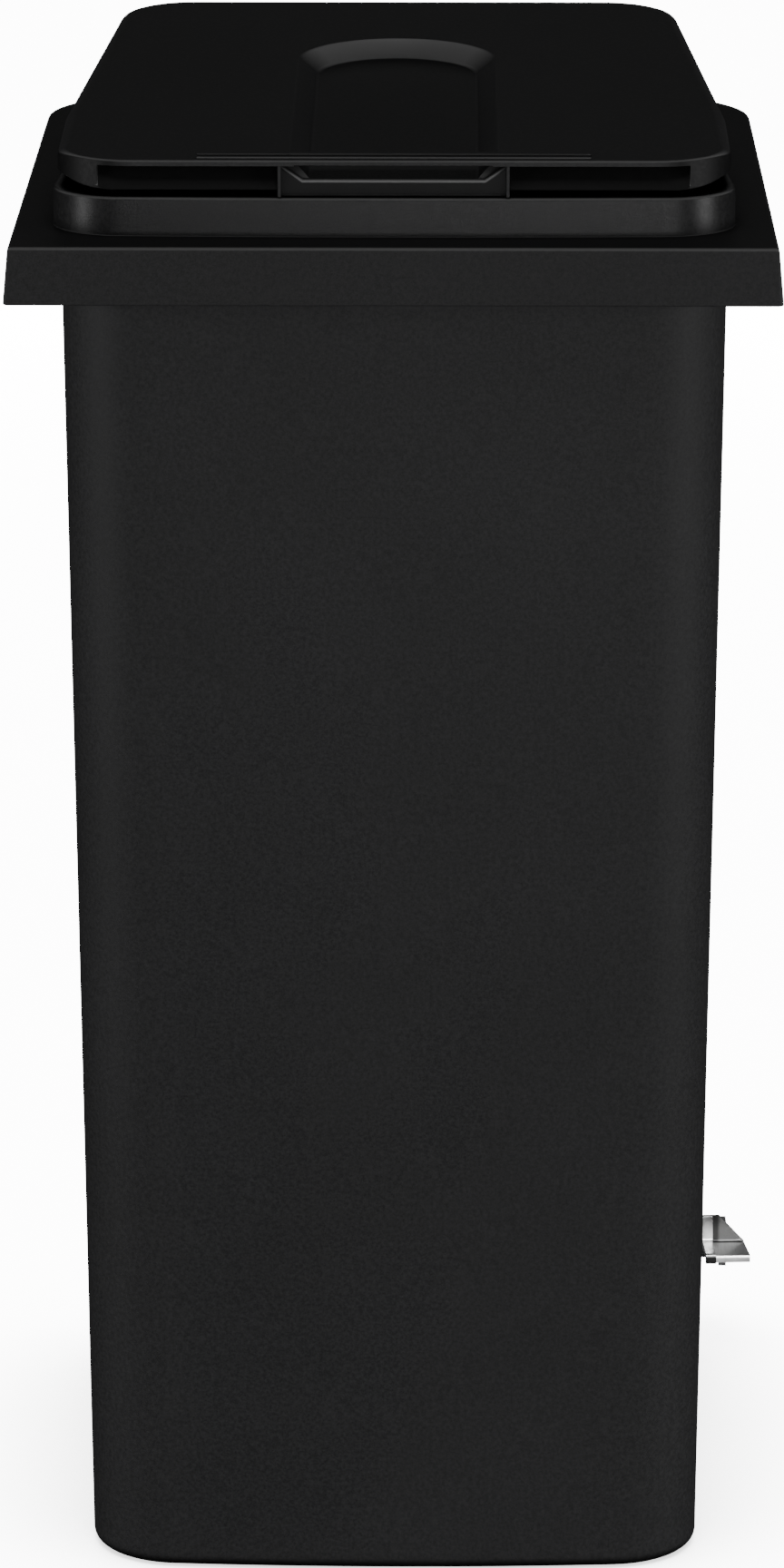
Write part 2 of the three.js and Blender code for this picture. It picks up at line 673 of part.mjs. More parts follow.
// Guide on the back wall; the rod runs through its slot.
function rodGuide() {
  const wall = bodyAt(GUIDE_Z - 15).rear + 1;
  const [left, right] = guideScrewX;
  const flange = box([left - 7, right + 7], [wall, wall + 3], [GUIDE_Z - 14, GUIDE_Z + 14]);
  const nose = box([ROD_X - 12, ROD_X + 8], [wall + 2, CRANK_PIN.y + 15], [GUIDE_Z - 8, GUIDE_Z + 8]);
  const slotHalf = ROD_RADIUS + 1;
  const slot = box(
    [ROD_X - slotHalf, ROD_X + slotHalf],
    [CRANK_PIN.y - slotHalf, CRANK_PIN.y + 2 * slotHalf],
    [GUIDE_Z - 20, GUIDE_Z + 20],
  );
  const holes = guideScrewX.map((x) => barY(2.8, [wall - 5, wall + 10], { x, z: GUIDE_Z }));
  return cut(unite(flange, nose), slot, holes);
}

function guideScrew(x) {
  const seat = bodyAt(GUIDE_Z - 15).rear + 4 + GAP;
  const at = { x, z: GUIDE_Z };
  return unite(barY(2.2, [seat - 14, seat + 1], at, 12), barY(5, [seat, seat + 3], at, 18));
}

// Flat arm that turns on the axle and carries the cross tube; the outer one drives the rod
// through a short slot, which takes up the rod's small sideways swing.
function pedalArm(x, drivesRod) {
  const reach = [x - ARM_THICKNESS / 2, x + ARM_THICKNESS / 2];
  const through = [x - ARM_THICKNESS, x + ARM_THICKNESS];
  const end = TUBE.front - GAP;
  const eye = BUSH_RADIUS + 5;
  const beam = plateX([
    [AXLE.y, AXLE.z - eye],
    [end, TUBE.bottom + 1],
    [end, TUBE.top - 1],
    [AXLE.y, AXLE.z + eye],
  ], reach);
  const pieces = [barX(eye, reach, AXLE, 28), beam];
  const cuts = [barX(BUSH_RADIUS + GAP, through, AXLE, 24)];
  if (drivesRod) {
    const boss = 13;
    const slot = ROD_RADIUS + ROD_PLAY;
    const slotEnd = { y: ARM_PIN.y + SLOT_LENGTH, z: ARM_PIN.z };
    pieces.push(barX(boss, reach, ARM_PIN, 24));
    pieces.push(plateX([
      [AXLE.y, AXLE.z + eye],
      [AXLE.y, AXLE.z - 10],
      [end - 12, TUBE.top - 5],
      [ARM_PIN.y + boss, ARM_PIN.z + 3],
      [ARM_PIN.y, ARM_PIN.z + boss],
    ], reach));
    cuts.push(barX(slot, through, ARM_PIN, 20), barX(slot, through, slotEnd, 20));
    cuts.push(box(through, [ARM_PIN.y, slotEnd.y], [ARM_PIN.z - slot, ARM_PIN.z + slot]));
  }
  return cut(unite(pieces), cuts);
}

// Flanged nylon bush between a pedal arm and the axle.
function pedalBush(x) {
  const inner = AXLE_RADIUS + GAP;
  const face = ARM_THICKNESS / 2 + GAP;
  const flange = BUSH_RADIUS + 3;
  const profile = [
    [inner, -face],
    [BUSH_RADIUS, -face],
    [BUSH_RADIUS, face],
    [flange, face],
    [flange, face + 2],
    [inner, face + 2],
  ];
  return turned(profile.map(([radius, offset]) => [radius, x + offset]), AXLE, 24);
}

function crossTube() {
  const { left, right, front, rear, bottom, top, wall } = TUBE;
  return cut(
    box([left, right], [front, rear], [bottom, top]),
    box([left - 1, right + 1], [front + wall, rear - wall], [bottom + wall, top - wall]),
  );
}

// Plate across the outer end of the tube.
function tubeEndPlate() {
  const face = TUBE.right + GAP;
  return box(
    [face, face + END_PLATE.thickness],
    [TUBE.front + 0.6, TUBE.rear - 2],
    [TUBE.bottom - END_PLATE.drop, TUBE.top],
  );
}

// Turn a pedal piece out a little about the inner rear corner of the tread.
function toedOut(piece) {
  const pivot = [TREAD.left, TREAD.rear, 0];
  const back = pivot.map((value) => -value);
  const degrees = THREE.MathUtils.radToDeg(PEDAL_TOE_OUT);
  return piece.translate(back).rotate([0, 0, degrees]).translate(pivot);
}

// Upright wall seen from the front: level at first, then sloping down to the tread.
function upstand(rear) {
  const { left, right, top } = TREAD;
  const end = right - TREAD_TAPER;
  return plateY([
    [left, top - PEDAL_SHEET],
    [end, top - PEDAL_SHEET],
    [end, top],
    [left + UPSTAND_LEVEL, top + UPSTAND_HEIGHT],
    [left, top + UPSTAND_HEIGHT],
  ], [rear - PEDAL_SHEET, rear]);
}

// Folded tread: tapered plate, sloping upstand behind, turned-down lip in front.
function pedalTread() {
  const { left, right, front, rear, top } = TREAD;
  const shape = new THREE.Shape();
  shape.moveTo(left, front);
  shape.lineTo(right, front);
  shape.lineTo(right - TREAD_TAPER, rear);
  shape.lineTo(left, rear);
  const geometry = new THREE.ExtrudeGeometry(shape, { depth: PEDAL_SHEET, bevelEnabled: false });
  const plate = solid(geometry.translate(0, 0, top - PEDAL_SHEET));
  const lip = box([left, right], [front, front + PEDAL_SHEET], [top - TREAD_LIP, top - 1]);
  return toedOut(unite(plate, lip, upstand(rear)));
}

// Doubler plate that wraps the tread's inner end.
function pedalDoubler() {
  const { left, front, rear, top } = TREAD;
  const { width, sheet, lip } = DOUBLER;
  const reach = [left, left + width];
  const back = rear - PEDAL_SHEET - GAP;
  const nose = front - GAP;
  const low = top + GAP;
  const pieces = [
    box(reach, [nose - sheet, back], [low, low + sheet]),
    box(reach, [nose - sheet, nose], [top - lip, low + sheet]),
    box(reach, [back - sheet, back], [low, top + UPSTAND_HEIGHT]),
  ];
  return toedOut(unite(pieces));
}

// ---------------------------------------------------------------- small parts

// Rubber pad on the neck that the lid's side edge comes down on.
function lidBuffer(side) {
  return box(span(side, 203, 209), [-75, -45], [NECK_TOP + GAP, LID_EDGE + LID_EDGE_RISE - GAP]);
}

// ---------------------------------------------------------------- assembly

const container = new THREE.Group();

function add(name, manifold, material) {
  const mesh = new THREE.Mesh(toGeometry(manifold), material());
  mesh.name = name;
  container.add(mesh);
}

add('container_body_lower', bodyBand(-1, BODY_SPLIT - GAP / 2), blackPlastic);
add('container_body_upper', bodyBand(BODY_SPLIT + GAP / 2, COLLAR_TOP), blackPlastic);
add('container_rim', containerRim(), blackPlastic);
add('handle_bar', handleBar(), blackPlastic);
COMB_RIBS.forEach((x, i) => add(`comb_rib_${i + 1}`, combRib(x), blackPlastic));
add('lid', lid(), blackPlastic);
add('axle', axle(), darkSteel);
for (const [name, side] of [['left', -1], ['right', 1]]) {
  add(`wheel_hub_${name}`, wheelHub(side), blackPlastic);
  add(`tyre_${name}`, tyre(side), rubber);
  add(`axle_cap_${name}`, axleCap(side), blackPlastic);
  add(`hinge_pin_${name}`, hingePin(side), blackPlastic);
  add(`lid_buffer_${name}`, lidBuffer(side), rubber);
}

const webFace = WEB_X[1] + WEB_THICKNESS / 2 + GAP;
const hubFace = WHEEL_X - 26 - GAP;
const bushFaces = [ARM_X[1] - ARM_THICKNESS / 2 - 2 * GAP, ARM_X[1] + ARM_THICKNESS / 2 + 2 + 2 * GAP];
const spacerRadii = [AXLE_RADIUS + GAP, AXLE_RADIUS + 4];
add('axle_spacer_left', sleeve(...spacerRadii, [-hubFace, -webFace], AXLE), greyNylon);
add('axle_spacer_inner', sleeve(...spacerRadii, [webFace, bushFaces[0]], AXLE), greyNylon);
add('axle_spacer_outer', sleeve(...spacerRadii, [bushFaces[1], hubFace], AXLE), greyNylon);

add('pedal_arm_inner', pedalArm(ARM_X[0], false), zincSteel);
add('pedal_arm_outer', pedalArm(ARM_X[1], true), zincSteel);
add('pedal_bush_inner', pedalBush(ARM_X[0]), greyNylon);
add('pedal_bush_outer', pedalBush(ARM_X[1]), greyNylon);
add('pedal_cross_tube', crossTube(), zincSteel);
add('pedal_end_plate', tubeEndPlate(), zincSteel);
add('pedal_tread', pedalTread(), zincSteel);
add('pedal_doubler', pedalDoubler(), zincSteel);

add('pull_rod', pullRod(), zincSteel);
add('rod_cap_upper', rodCap(CRANK_PIN), blackPlastic);
add('rod_cap_lower', rodCap(ARM_PIN), blackPlastic);
add('rod_guide', rodGuide(), blackPlastic);
guideScrewX.forEach((x, i) => add(`guide_screw_${i + 1}`, guideScrew(x), zincSteel));

add('lid_crank', lidCrank(), zincSteel);
crankScrewY.forEach((_, i) => add(`crank_screw_${i + 1}`, crankScrew(i), zincSteel));

export default container;
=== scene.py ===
# Studio scene of a two-wheeled waste container whose lid opens with a foot pedal.
# Sizes are in millimetres and become metres when a mesh is made. +Z is up, -Y is the front.
from math import acos, atan2, cos, pi, radians, sin, tan

import bmesh
import bpy
from mathutils import Matrix, Vector


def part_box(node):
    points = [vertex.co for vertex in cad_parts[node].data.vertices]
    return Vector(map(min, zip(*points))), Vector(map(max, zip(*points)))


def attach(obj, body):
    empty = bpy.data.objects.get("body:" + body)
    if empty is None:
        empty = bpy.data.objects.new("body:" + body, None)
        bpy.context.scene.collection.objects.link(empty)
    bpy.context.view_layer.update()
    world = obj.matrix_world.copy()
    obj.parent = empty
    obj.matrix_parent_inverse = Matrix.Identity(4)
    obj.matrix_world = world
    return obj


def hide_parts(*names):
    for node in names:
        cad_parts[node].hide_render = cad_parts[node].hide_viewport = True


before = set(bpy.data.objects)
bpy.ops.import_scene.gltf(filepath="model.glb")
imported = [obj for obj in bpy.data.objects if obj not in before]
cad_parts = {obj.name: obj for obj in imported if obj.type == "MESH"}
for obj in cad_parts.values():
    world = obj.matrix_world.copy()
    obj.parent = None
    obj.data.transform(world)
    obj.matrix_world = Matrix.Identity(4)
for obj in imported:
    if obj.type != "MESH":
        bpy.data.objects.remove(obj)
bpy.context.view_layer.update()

MM = 0.001


def box_of(node):
    """Lowest and highest corner of a CAD node, in millimetres."""
    low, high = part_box(node)
    return Vector(low) / MM, Vector(high) / MM


# ---- dimensions from the frame

MOULDING_NODES = ["container_body_lower", "container_body_upper", "container_rim", "handle_bar"]
MOULDING_NODES += [f"comb_rib_{index}" for index in range(1, 9)]
RIM_LOW, RIM_HIGH = box_of("container_rim")
AXLE_LOW, AXLE_HIGH = box_of("axle")
TYRE_LOW, TYRE_HIGH = box_of("tyre_right")
HUB_LOW, HUB_HIGH = box_of("wheel_hub_right")
PIN_LOW, PIN_HIGH = box_of("hinge_pin_right")
ROD_LOW, ROD_HIGH = box_of("pull_rod")
TUBE_LOW, TUBE_HIGH = box_of("pedal_cross_tube")
GUIDE_LOW, GUIDE_HIGH = box_of("rod_guide")

GAP = 0.3
HALF_WIDTH = RIM_HIGH.x
FRONT = RIM_LOW.y
BACK = box_of("handle_bar")[1].y
AXLE = (AXLE_LOW + AXLE_HIGH) / 2
AXLE_BORE = (AXLE_HIGH.z - AXLE_LOW.z) / 2 + GAP
HINGE = (PIN_LOW + PIN_HIGH) / 2
PIN_HEAD_REACH = 4
PIN_BORE = (PIN_HIGH.z - PIN_LOW.z) / 2 - PIN_HEAD_REACH + GAP
HUB_RADIUS = (HUB_HIGH.z - HUB_LOW.z) / 2
WHEEL_RADIUS = (TYRE_HIGH.z - TYRE_LOW.z) / 2
WHEEL_X = (TYRE_LOW.x + TYRE_HIGH.x) / 2
ROD_RADIUS = (ROD_HIGH.y - ROD_LOW.y) / 2
ROD_X = ROD_HIGH.x - ROD_RADIUS
ROD_Y = (ROD_LOW.y + ROD_HIGH.y) / 2
CRANK_PIN = Vector((0, ROD_Y, ROD_HIGH.z - ROD_RADIUS))
ARM_PIN = Vector((0, ROD_Y, ROD_LOW.z + ROD_RADIUS))

# ---- dimensions shared with the part, and those of its finer shape

COLLAR_TOP = 892
SKIRT_HEIGHT = 36
SKIRT_BOTTOM = COLLAR_TOP - SKIRT_HEIGHT
SKIRT_DRAFT = 3
COLLAR_CORNER = 3
COLLAR_REAR_RADIUS = 90
WALL = 4
FLOOR = 5
FOOT_EDGE = 8
FOOT = {"half": 199, "front": -215, "rear": 172}
SHOULDER = {"half": 208.5, "front": -242, "rear": 190}
REAR_NARROWING = 14
BODY_FRONT_RADIUS = 58
BODY_REAR_RADIUS = 40
BODY_BOW = 5
NECK_TOP = COLLAR_TOP + 24.4
NECK_WALL = 7
NECK = {
    "half": 212.7, "rear_half": 192, "front": -238.5, "rear": 192,
    "front_radius": 45, "rear_radius": 40, "bow": 3,
}
LID_EDGE = 921
LID_CORNER_RISE = 5
LID_WALL = 3.5
LID_FRONT_TOP = 940
LID_REAR_TOP = 962
LID = {
    "half": 209.5, "rear_half": 188.5, "front": -238.5, "rear": 240,
    "front_radius": 47, "rear_radius": 50, "straight": -100,
}
LID_REAR_CUT = [(196, 900), (215, 950), (260, 950), (260, 900)]
LID_SHOULDER = 9
LIP_HEIGHT = 3.7
LIP_UNDER = LID_FRONT_TOP - LIP_HEIGHT
LIP_ROUNDING = 1.6
GRIP_DEPTH = 12
GRIP_HALF = 183
GRIP_RIB_X = 70.5
GRIP_RIB_WIDTH = 2.2
NOTCH_ROUNDING = 2.6
SCOOP_HALF = 54
SCOOP_SLOPE = 10
SCOOP_CENTRE = 52
SCOOP_FRONT_FLOOR = 927
SCOOP_REAR_FLOOR = 945
SCOOP_WALL = 3
BAR_DEPTH = 24
RIDGE_OFFSETS = (4, 13)
RIDGE_HALF = 122
RIDGE_WIDTH = 3.5
HANDLE_RADIUS = 14
HANDLE_HALF = 150
HANDLE_GAP_FRONT = 196
COMB_PITCH = {"front": 60, "side": 70}
HUB_HALF_WIDTH = 18
BOSS_RADIUS = 22
BOSS_REACH = 26
HUB_HOLES = 5
HUB_HOLE_RADIUS = 14
HUB_HOLE_CIRCLE = 46
TYRE_GROOVES = (-9, 0, 9)
GROOVE_DEPTH = 1.8
CAP_SETBACK = 1.6
AXLE_BOSS = 16
WHEEL_BAY_X = 150
WHEEL_CLEARANCE = 12
AXLE_BAY_FRONT = 112
AXLE_BAY_ROOF = 132
LUG_STATIONS = (70, 106)
LUG_THICKNESS = 8
LUG_RADIUS = 13
WEB_X = (40, 112)
ARM_X = (60, 130)
ARM_THICKNESS = 5
ARM_EYE = 18
BUSH_RADIUS = 13
ROD_BEND = 9
TREAD = {"left": 217.2, "right": 249, "front": 224.3, "rear": 254.4, "top": 63}
TREAD_TAPER = 1.8
TREAD_LIP = 5.3
UPSTAND_HEIGHT = 19.5
UPSTAND_LEVEL = 12.2
FOLD_RADIUS = 2.2
DOUBLER = {"width": 7.4, "sheet": 1.2, "lip": 6, "fold": 2.6}
DOUBLER_TOP = TREAD["top"] + GAP + DOUBLER["sheet"]
PEDAL_SHEET = 2.5
PEDAL_TOE_OUT = radians(3.3)

# ---- mesh helpers

SCENE = bpy.context.scene
SMOOTH_ANGLE = radians(38)


def link(name, data):
    """A new object in the scene."""
    made = bpy.data.objects.new(name, data)
    SCENE.collection.objects.link(made)
    return made


def mesh_of(bm):
    """The finished mesh of a bmesh, its faces turned outwards."""
    bmesh.ops.recalc_face_normals(bm, faces=bm.faces)
    mesh = bpy.data.meshes.new("mesh")
    bm.to_mesh(mesh)
    bm.free()
    return mesh


def evaluated_mesh(obj):
    """The object's final mesh as new data; the object itself is removed."""
    depsgraph = bpy.context.evaluated_depsgraph_get()
    depsgraph.update()
    mesh = bpy.data.meshes.new_from_object(obj.evaluated_get(depsgraph), depsgraph=depsgraph)
    bpy.data.objects.remove(obj)
    return mesh


def cut(mesh, *tools):
    """A new mesh: the solid with each tool's solid taken away in turn."""
    for tool_mesh in tools:
        target = link("target", mesh)
        tool = link("tool", tool_mesh)
        modifier = target.modifiers.new("boolean", "BOOLEAN")
        modifier.object = tool
        modifier.operation = "DIFFERENCE"
        modifier.solver = "EXACT"
        mesh = evaluated_mesh(target)
        bpy.data.objects.remove(tool)
    return mesh


def gather(*meshes):
    """One mesh of several closed ones."""
    bm = bmesh.new()
    for mesh in meshes:
        bm.from_mesh(mesh)
    return mesh_of(bm)


def rounded_edges(obj, width, segments, angle):
    """Bevel on every edge sharper than an angle; the width is in mm."""
    bevel = obj.modifiers.new("edges", "BEVEL")
    bevel.width = width * MM
    bevel.segments = segments
    bevel.limit_method = "ANGLE"
    bevel.angle_limit = angle


def piece(name, mesh, material, body, replaced, edge=0):
    """A finished, shown piece: scaled to metres, smooth up to an angle, riding on its body."""
    made = link(name, mesh)
    mesh.name = name
    mesh.transform(Matrix.Scale(MM, 4))
    mesh.materials.clear()
    mesh.materials.append(material)
    mesh.polygons.foreach_set("use_smooth", [True] * len(mesh.polygons))
    mesh.set_sharp_from_angle(angle=SMOOTH_ANGLE)
    if edge:
        rounded_edges(made, edge, 3, SMOOTH_ANGLE)
    normals = made.modifiers.new("normals", "WEIGHTED_NORMAL")
    normals.keep_sharp = True
    normals.weight = 60
    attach(made, body)
    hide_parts(*replaced)
    return made


def ring_faces(bm, first, second):
    """Four-sided faces between two rings of vertices."""
    count = len(first)
    for i in range(count):
        bm.faces.new((first[i], first[(i + 1) % count], second[(i + 1) % count], second[i]))


def loft(rings, closed=False):
    """Solid through closed rings of 3-D points, capped at both ends or running back on itself."""
    bm = bmesh.new()
    rows = [[bm.verts.new(point) for point in ring] for ring in rings]
    for first, second in zip(rows, rows[1:]):
        ring_faces(bm, first, second)
    if closed:
        ring_faces(bm, rows[-1], rows[0])
    else:
        bm.faces.new(reversed(rows[0]))
        bm.faces.new(rows[-1])
    return mesh_of(bm)


def extruded(shape, low, high):
    """Prism along X over a closed shape of (y, z) points."""
    return loft([[(x, y, z) for y, z in shape] for x in (low, high)])


def arc(centre, radius, start, end, steps):
    """Points on an arc, angles in radians, both ends included."""
    angles = [start + (end - start) * i / steps for i in range(steps + 1)]
    return [(centre[0] + radius * cos(t), centre[1] + radius * sin(t)) for t in angles]


def circle(centre, radius, steps=48):
    """Points once round, the last one not repeated."""
    return arc(centre, radius, 0, 2 * pi, steps)[:-1]


def turns(count):
    """Angles that share out a full turn."""
    return [2 * pi * i / count for i in range(count)]


def rectangle(low_a, low_b, high_a, high_b):
    """Corners, anticlockwise from the low one."""
    return [(low_a, low_b), (high_a, low_b), (high_a, high_b), (low_a, high_b)]


def filleted(points, radii, steps=5):
    """Closed polygon with its corners rounded; radii is one number or one for each corner."""
    count = len(points)
    if not isinstance(radii, (list, tuple)):
        radii = [radii] * count
    rounded = []
    for i, radius in enumerate(radii):
        corner = Vector(points[i])
        if radius <= 0:
            rounded.append(tuple(corner))
            continue
        to_last = Vector(points[i - 1]) - corner
        to_next = Vector(points[(i + 1) % count]) - corner
        tangent = radius / tan(to_last.angle(to_next) / 2)
        reach = min(tangent, to_last.length * 0.49, to_next.length * 0.49)
        start = corner + to_last.normalized() * reach
        end = corner + to_next.normalized() * reach
        for step in range(steps + 1):
            t = step / steps
            point = start * (1 - t) ** 2 + corner * (2 * t * (1 - t)) + end * t ** 2
            rounded.append(tuple(point))
    return rounded


def block(x, y, z, edge):
    """Box between limits, its edges rounded."""
    bm = bmesh.new()
    bmesh.ops.create_cube(bm, size=1)
    size = Vector((x[1] - x[0], y[1] - y[0], z[1] - z[0]))
    middle = Vector((x[0] + x[1], y[0] + y[1], z[0] + z[1])) / 2
    placed = Matrix.Translation(middle) @ Matrix.Diagonal((*size, 1))
    bmesh.ops.transform(bm, matrix=placed, verts=bm.verts)
    if edge:
        bmesh.ops.bevel(bm, geom=bm.edges, offset=edge, segments=3, profile=0.5, affect="EDGES")
    return mesh_of(bm)


def plate(outline, holes, low, high, rounding=0.6, axis="x"):
    """Flat plate with holes and rounded edges, between two planes square to an axis."""
    curve = bpy.data.curves.new("plate", "CURVE")
    curve.dimensions = "2D"
    curve.fill_mode = "BOTH"
    curve.extrude = (high - low) / 2 - rounding
    curve.bevel_depth = rounding
    curve.bevel_resolution = 2
    curve.offset = -rounding
    for loop in (outline, *holes):
        spline = curve.splines.new("POLY")
        spline.points.add(len(loop) - 1)
        for point, (a, b) in zip(spline.points, loop):
            point.co = (a, b, 0, 1)
        spline.use_cyclic_u = True
    mesh = evaluated_mesh(link("plate", curve))
    middle = (low + high) / 2
    planes = {
        "x": Matrix(((0, 0, 1, middle), (1, 0, 0, 0), (0, 1, 0, 0), (0, 0, 0, 1))),
        "y": Matrix(((1, 0, 0, 0), (0, 0, 1, middle), (0, 1, 0, 0), (0, 0, 0, 1))),
        "z": Matrix.Translation((0, 0, middle)),
    }
    mesh.transform(planes[axis])
    bm = bmesh.new()
    bm.from_mesh(mesh)
    bmesh.ops.remove_doubles(bm, verts=bm.verts, dist=0.001)
    return mesh_of(bm)


def turned(profile, centre, segments):
    """Ring or disc turned about the X axis through centre, from a closed (radius, x) profile."""
    rings = [
        [(x, centre.y + r * cos(turn), centre.z + r * sin(turn)) for r, x in profile]
        for turn in turns(segments)
    ]
    return loft(rings, closed=True)


def stacked(rows, centre, count, axis=0):
    """Round solid along an axis through centre, from (station, radius) rows."""
    across = [value for index, value in enumerate(centre) if index != axis]
    rings = []
    for station, radius in rows:
        ring = circle(across, radius, count)
        rings.append([(*point[:axis], station, *point[axis:]) for point in ring])
    return loft(rings)


def mirrored(mesh):
    """The same mesh on the other side of the middle plane."""
    bm = bmesh.new()
    bm.from_mesh(mesh)
    bmesh.ops.transform(bm, matrix=Matrix.Diagonal((-1, 1, 1, 1)), verts=bm.verts)
    return mesh_of(bm)


def both_sides(mesh):
    """The mesh and its mirror image."""
    return [mesh, mirrored(mesh)]


# ---- plan outlines

FRONT_STEPS = 22
CORNER_STEPS = 14
SIDE_STEPS = 16
REAR_STEPS = 16


def tangent_turn(point, centre, radius_here, radius_there):
    """Angle of the normal of the straight line that runs along two round corners."""
    across = point - centre
    return atan2(across.y, across.x) + acos((radius_there - radius_here) / across.length)


def half_outline(half, front, rear, front_radius, rear_radius, rear_half=None, bow=0, straight=None):
    """Right half of a plan outline, from the middle of the front to the middle of the back."""
    rear_half = half if rear_half is None else rear_half
    span = half - front_radius
    for _ in range(5):  # the bowed front's slope and its span depend on each other
        slope = atan2(2 * bow, span)
        span = half - front_radius + front_radius * sin(slope)
    first = Vector((half - front_radius, front + bow + front_radius * cos(slope)))
    second = Vector((rear_half - rear_radius, rear - rear_radius))
    steps = [i / FRONT_STEPS for i in range(FRONT_STEPS)]
    points = [(span * t, front + bow * t * t) for t in steps]
    if straight is None:
        turn = tangent_turn(first, second, front_radius, rear_radius)
        points += arc(first, front_radius, slope - pi / 2, turn, CORNER_STEPS)
    else:
        bend = Vector((half, straight))
        turn = tangent_turn(bend, second, 0, rear_radius)
        points += arc(first, front_radius, slope - pi / 2, 0, CORNER_STEPS)
        points.append(tuple(bend))
    start = Vector(points[-1])
    corner = arc(second, rear_radius, turn, pi / 2, CORNER_STEPS)
    end = Vector(corner[0])
    points += [tuple(start.lerp(end, i / SIDE_STEPS)) for i in range(1, SIDE_STEPS)]
    points += corner
    edge = corner[-1][0]
    points += [(edge * (1 - i / REAR_STEPS), rear) for i in range(1, REAR_STEPS + 1)]
    return points


def outline(**sizes):
    """Closed plan outline, anticlockwise, as 2-D points."""
    right = half_outline(**sizes)
    left = [(-x, y) for x, y in reversed(right[1:-1])]
    return right + left


def normals_of(points):
    """Outward unit normals of an anticlockwise outline."""
    count = len(points)
    normals = []
    for i in range(count):
        along = Vector(points[(i + 1) % count]) - Vector(points[i - 1])
        normals.append(Vector((along.y, -along.x)).normalized())
    return normals


def inset_by(points, amounts):
    """The outline moved inwards by one amount, or by one for each point."""
    if not isinstance(amounts, list):
        amounts = [amounts] * len(points)
    return [
        (x - normal.x * amount, y - normal.y * amount)
        for (x, y), normal, amount in zip(points, normals_of(points), amounts)
    ]


def at_height(points, height):
    """3-D ring of an outline; height is a number or a function of y."""
    return [(x, y, height(y) if callable(height) else height) for x, y in points]


def grown(sizes, amount):
    """Sizes of an outline moved outwards by an amount, its corners kept concentric."""
    ways = {"half": 1, "rear_half": 1, "front": -1, "rear": 1, "front_radius": 1, "rear_radius": 1}
    return {key: value + amount * ways.get(key, 0) for key, value in sizes.items()}


# ---- container moulding

def shrunk_ring(sizes, amount, z):
    """Ring of an outline moved inwards by an amount, at one height."""
    return at_height(outline(**grown(sizes, -amount)), z)


def body_sizes(z):
    """Sizes of the tapered body's outline at one height."""
    t = z / SKIRT_BOTTOM
    sizes = {key: FOOT[key] + (SHOULDER[key] - FOOT[key]) * t for key in FOOT}
    return sizes | {
        "rear_half": sizes["half"] - REAR_NARROWING, "bow": BODY_BOW,
        "front_radius": BODY_FRONT_RADIUS, "rear_radius": BODY_REAR_RADIUS,
    }


def body_solid(thickness, bottom, top):
    """Tapered body shrunk by a thickness, rounded round its bottom."""
    rings = []
    for i in range(9):
        turn = i * pi / 16
        z = bottom + FOOT_EDGE * (1 - cos(turn))
        inset = thickness + FOOT_EDGE * (1 - sin(turn))
        rings.append(shrunk_ring(body_sizes(z), inset, z))
    base = bottom + FOOT_EDGE
    for i in range(1, 9):
        z = base + (top - base) * i / 8
        rings.append(shrunk_ring(body_sizes(z), thickness, z))
    return loft(rings)


def wheel_bay(side, extra):
    """Arched room for one wheel, grown by an amount."""
    reach = WHEEL_RADIUS + WHEEL_CLEARANCE + extra
    shape = [(AXLE.y - reach, -20), (AXLE.y + reach, -20)]
    shape += arc(AXLE.yz, reach, 0, pi, 48)
    limits = sorted((side * (WHEEL_BAY_X - extra), side * (HALF_WIDTH + 5)))
    return extruded(shape, *limits)


def axle_bay(extra):
    """Room for the axle between the two wheel bays, grown by an amount."""
    depth = (AXLE_BAY_FRONT - extra, BACK)
    return block((-WHEEL_BAY_X - 1, WHEEL_BAY_X + 1), depth, (-20, AXLE_BAY_ROOF + extra), 0)


def body_shell():
    """Hollow body with room for the wheels and the axle."""
    def with_bays(solid, extra):
        return cut(solid, wheel_bay(-1, extra), wheel_bay(1, extra), axle_bay(extra))
    outer = with_bays(body_solid(0, 0, COLLAR_TOP - 2), 0)
    cavity = with_bays(body_solid(WALL, FLOOR, COLLAR_TOP + 4), WALL)
    return cut(outer, cavity)


def neck_band():
    """Band that stands on the collar; its foot flares into the plate and its rim is rounded."""
    rim = 2.2
    face = 0.25
    rows = [
        (2.5, COLLAR_TOP - 3), (-0.6, COLLAR_TOP - 1), (-0.6, COLLAR_TOP + 0.1),
        (-0.1, COLLAR_TOP + 0.5), (0, COLLAR_TOP + 1.2), (face, NECK_TOP - rim),
    ]
    rows += [(face + rim * (1 - cos(t)), NECK_TOP - rim * (1 - sin(t))) for t in (0.5, 1.0, pi / 2)]
    rows += [
        (NECK_WALL - 1, NECK_TOP), (NECK_WALL - 0.3, NECK_TOP - 0.3), (NECK_WALL, NECK_TOP - 1),
        (NECK_WALL, COLLAR_TOP - 10), (2.5, COLLAR_TOP - 24),
    ]
    return loft([shrunk_ring(NECK, inset, z) for inset, z in rows], closed=True)


def collar_section():
    """Rows of (inset from the outline, height) round the collar's plate and skirt."""
    rounding = 2.4
    outer = [
        (SKIRT_DRAFT + rounding * (1 - sin(t)), COLLAR_TOP - rounding * (1 - cos(t)))
        for t in (0, 0.4, 0.8, 1.2, pi / 2)
    ]
    low = [(0.1, SKIRT_BOTTOM + 1.2), (0.5, SKIRT_BOTTOM + 0.3), (1.3, SKIRT_BOTTOM)]
    under = COLLAR_TOP - WALL
    inner = [
        (WALL - 1, SKIRT_BOTTOM), (WALL, SKIRT_BOTTOM + 1),
        (WALL + SKIRT_DRAFT, under - 1.5), (WALL + SKIRT_DRAFT + 1.5, under),
    ]
    return outer + low + inner


def open_outline(sizes):
    """Outline without its straight back, from one rear corner round the front to the other."""
    right = half_outline(**sizes)[:-REAR_STEPS]
    left = [(-x, y) for x, y in reversed(right[1:])]
    return left + right


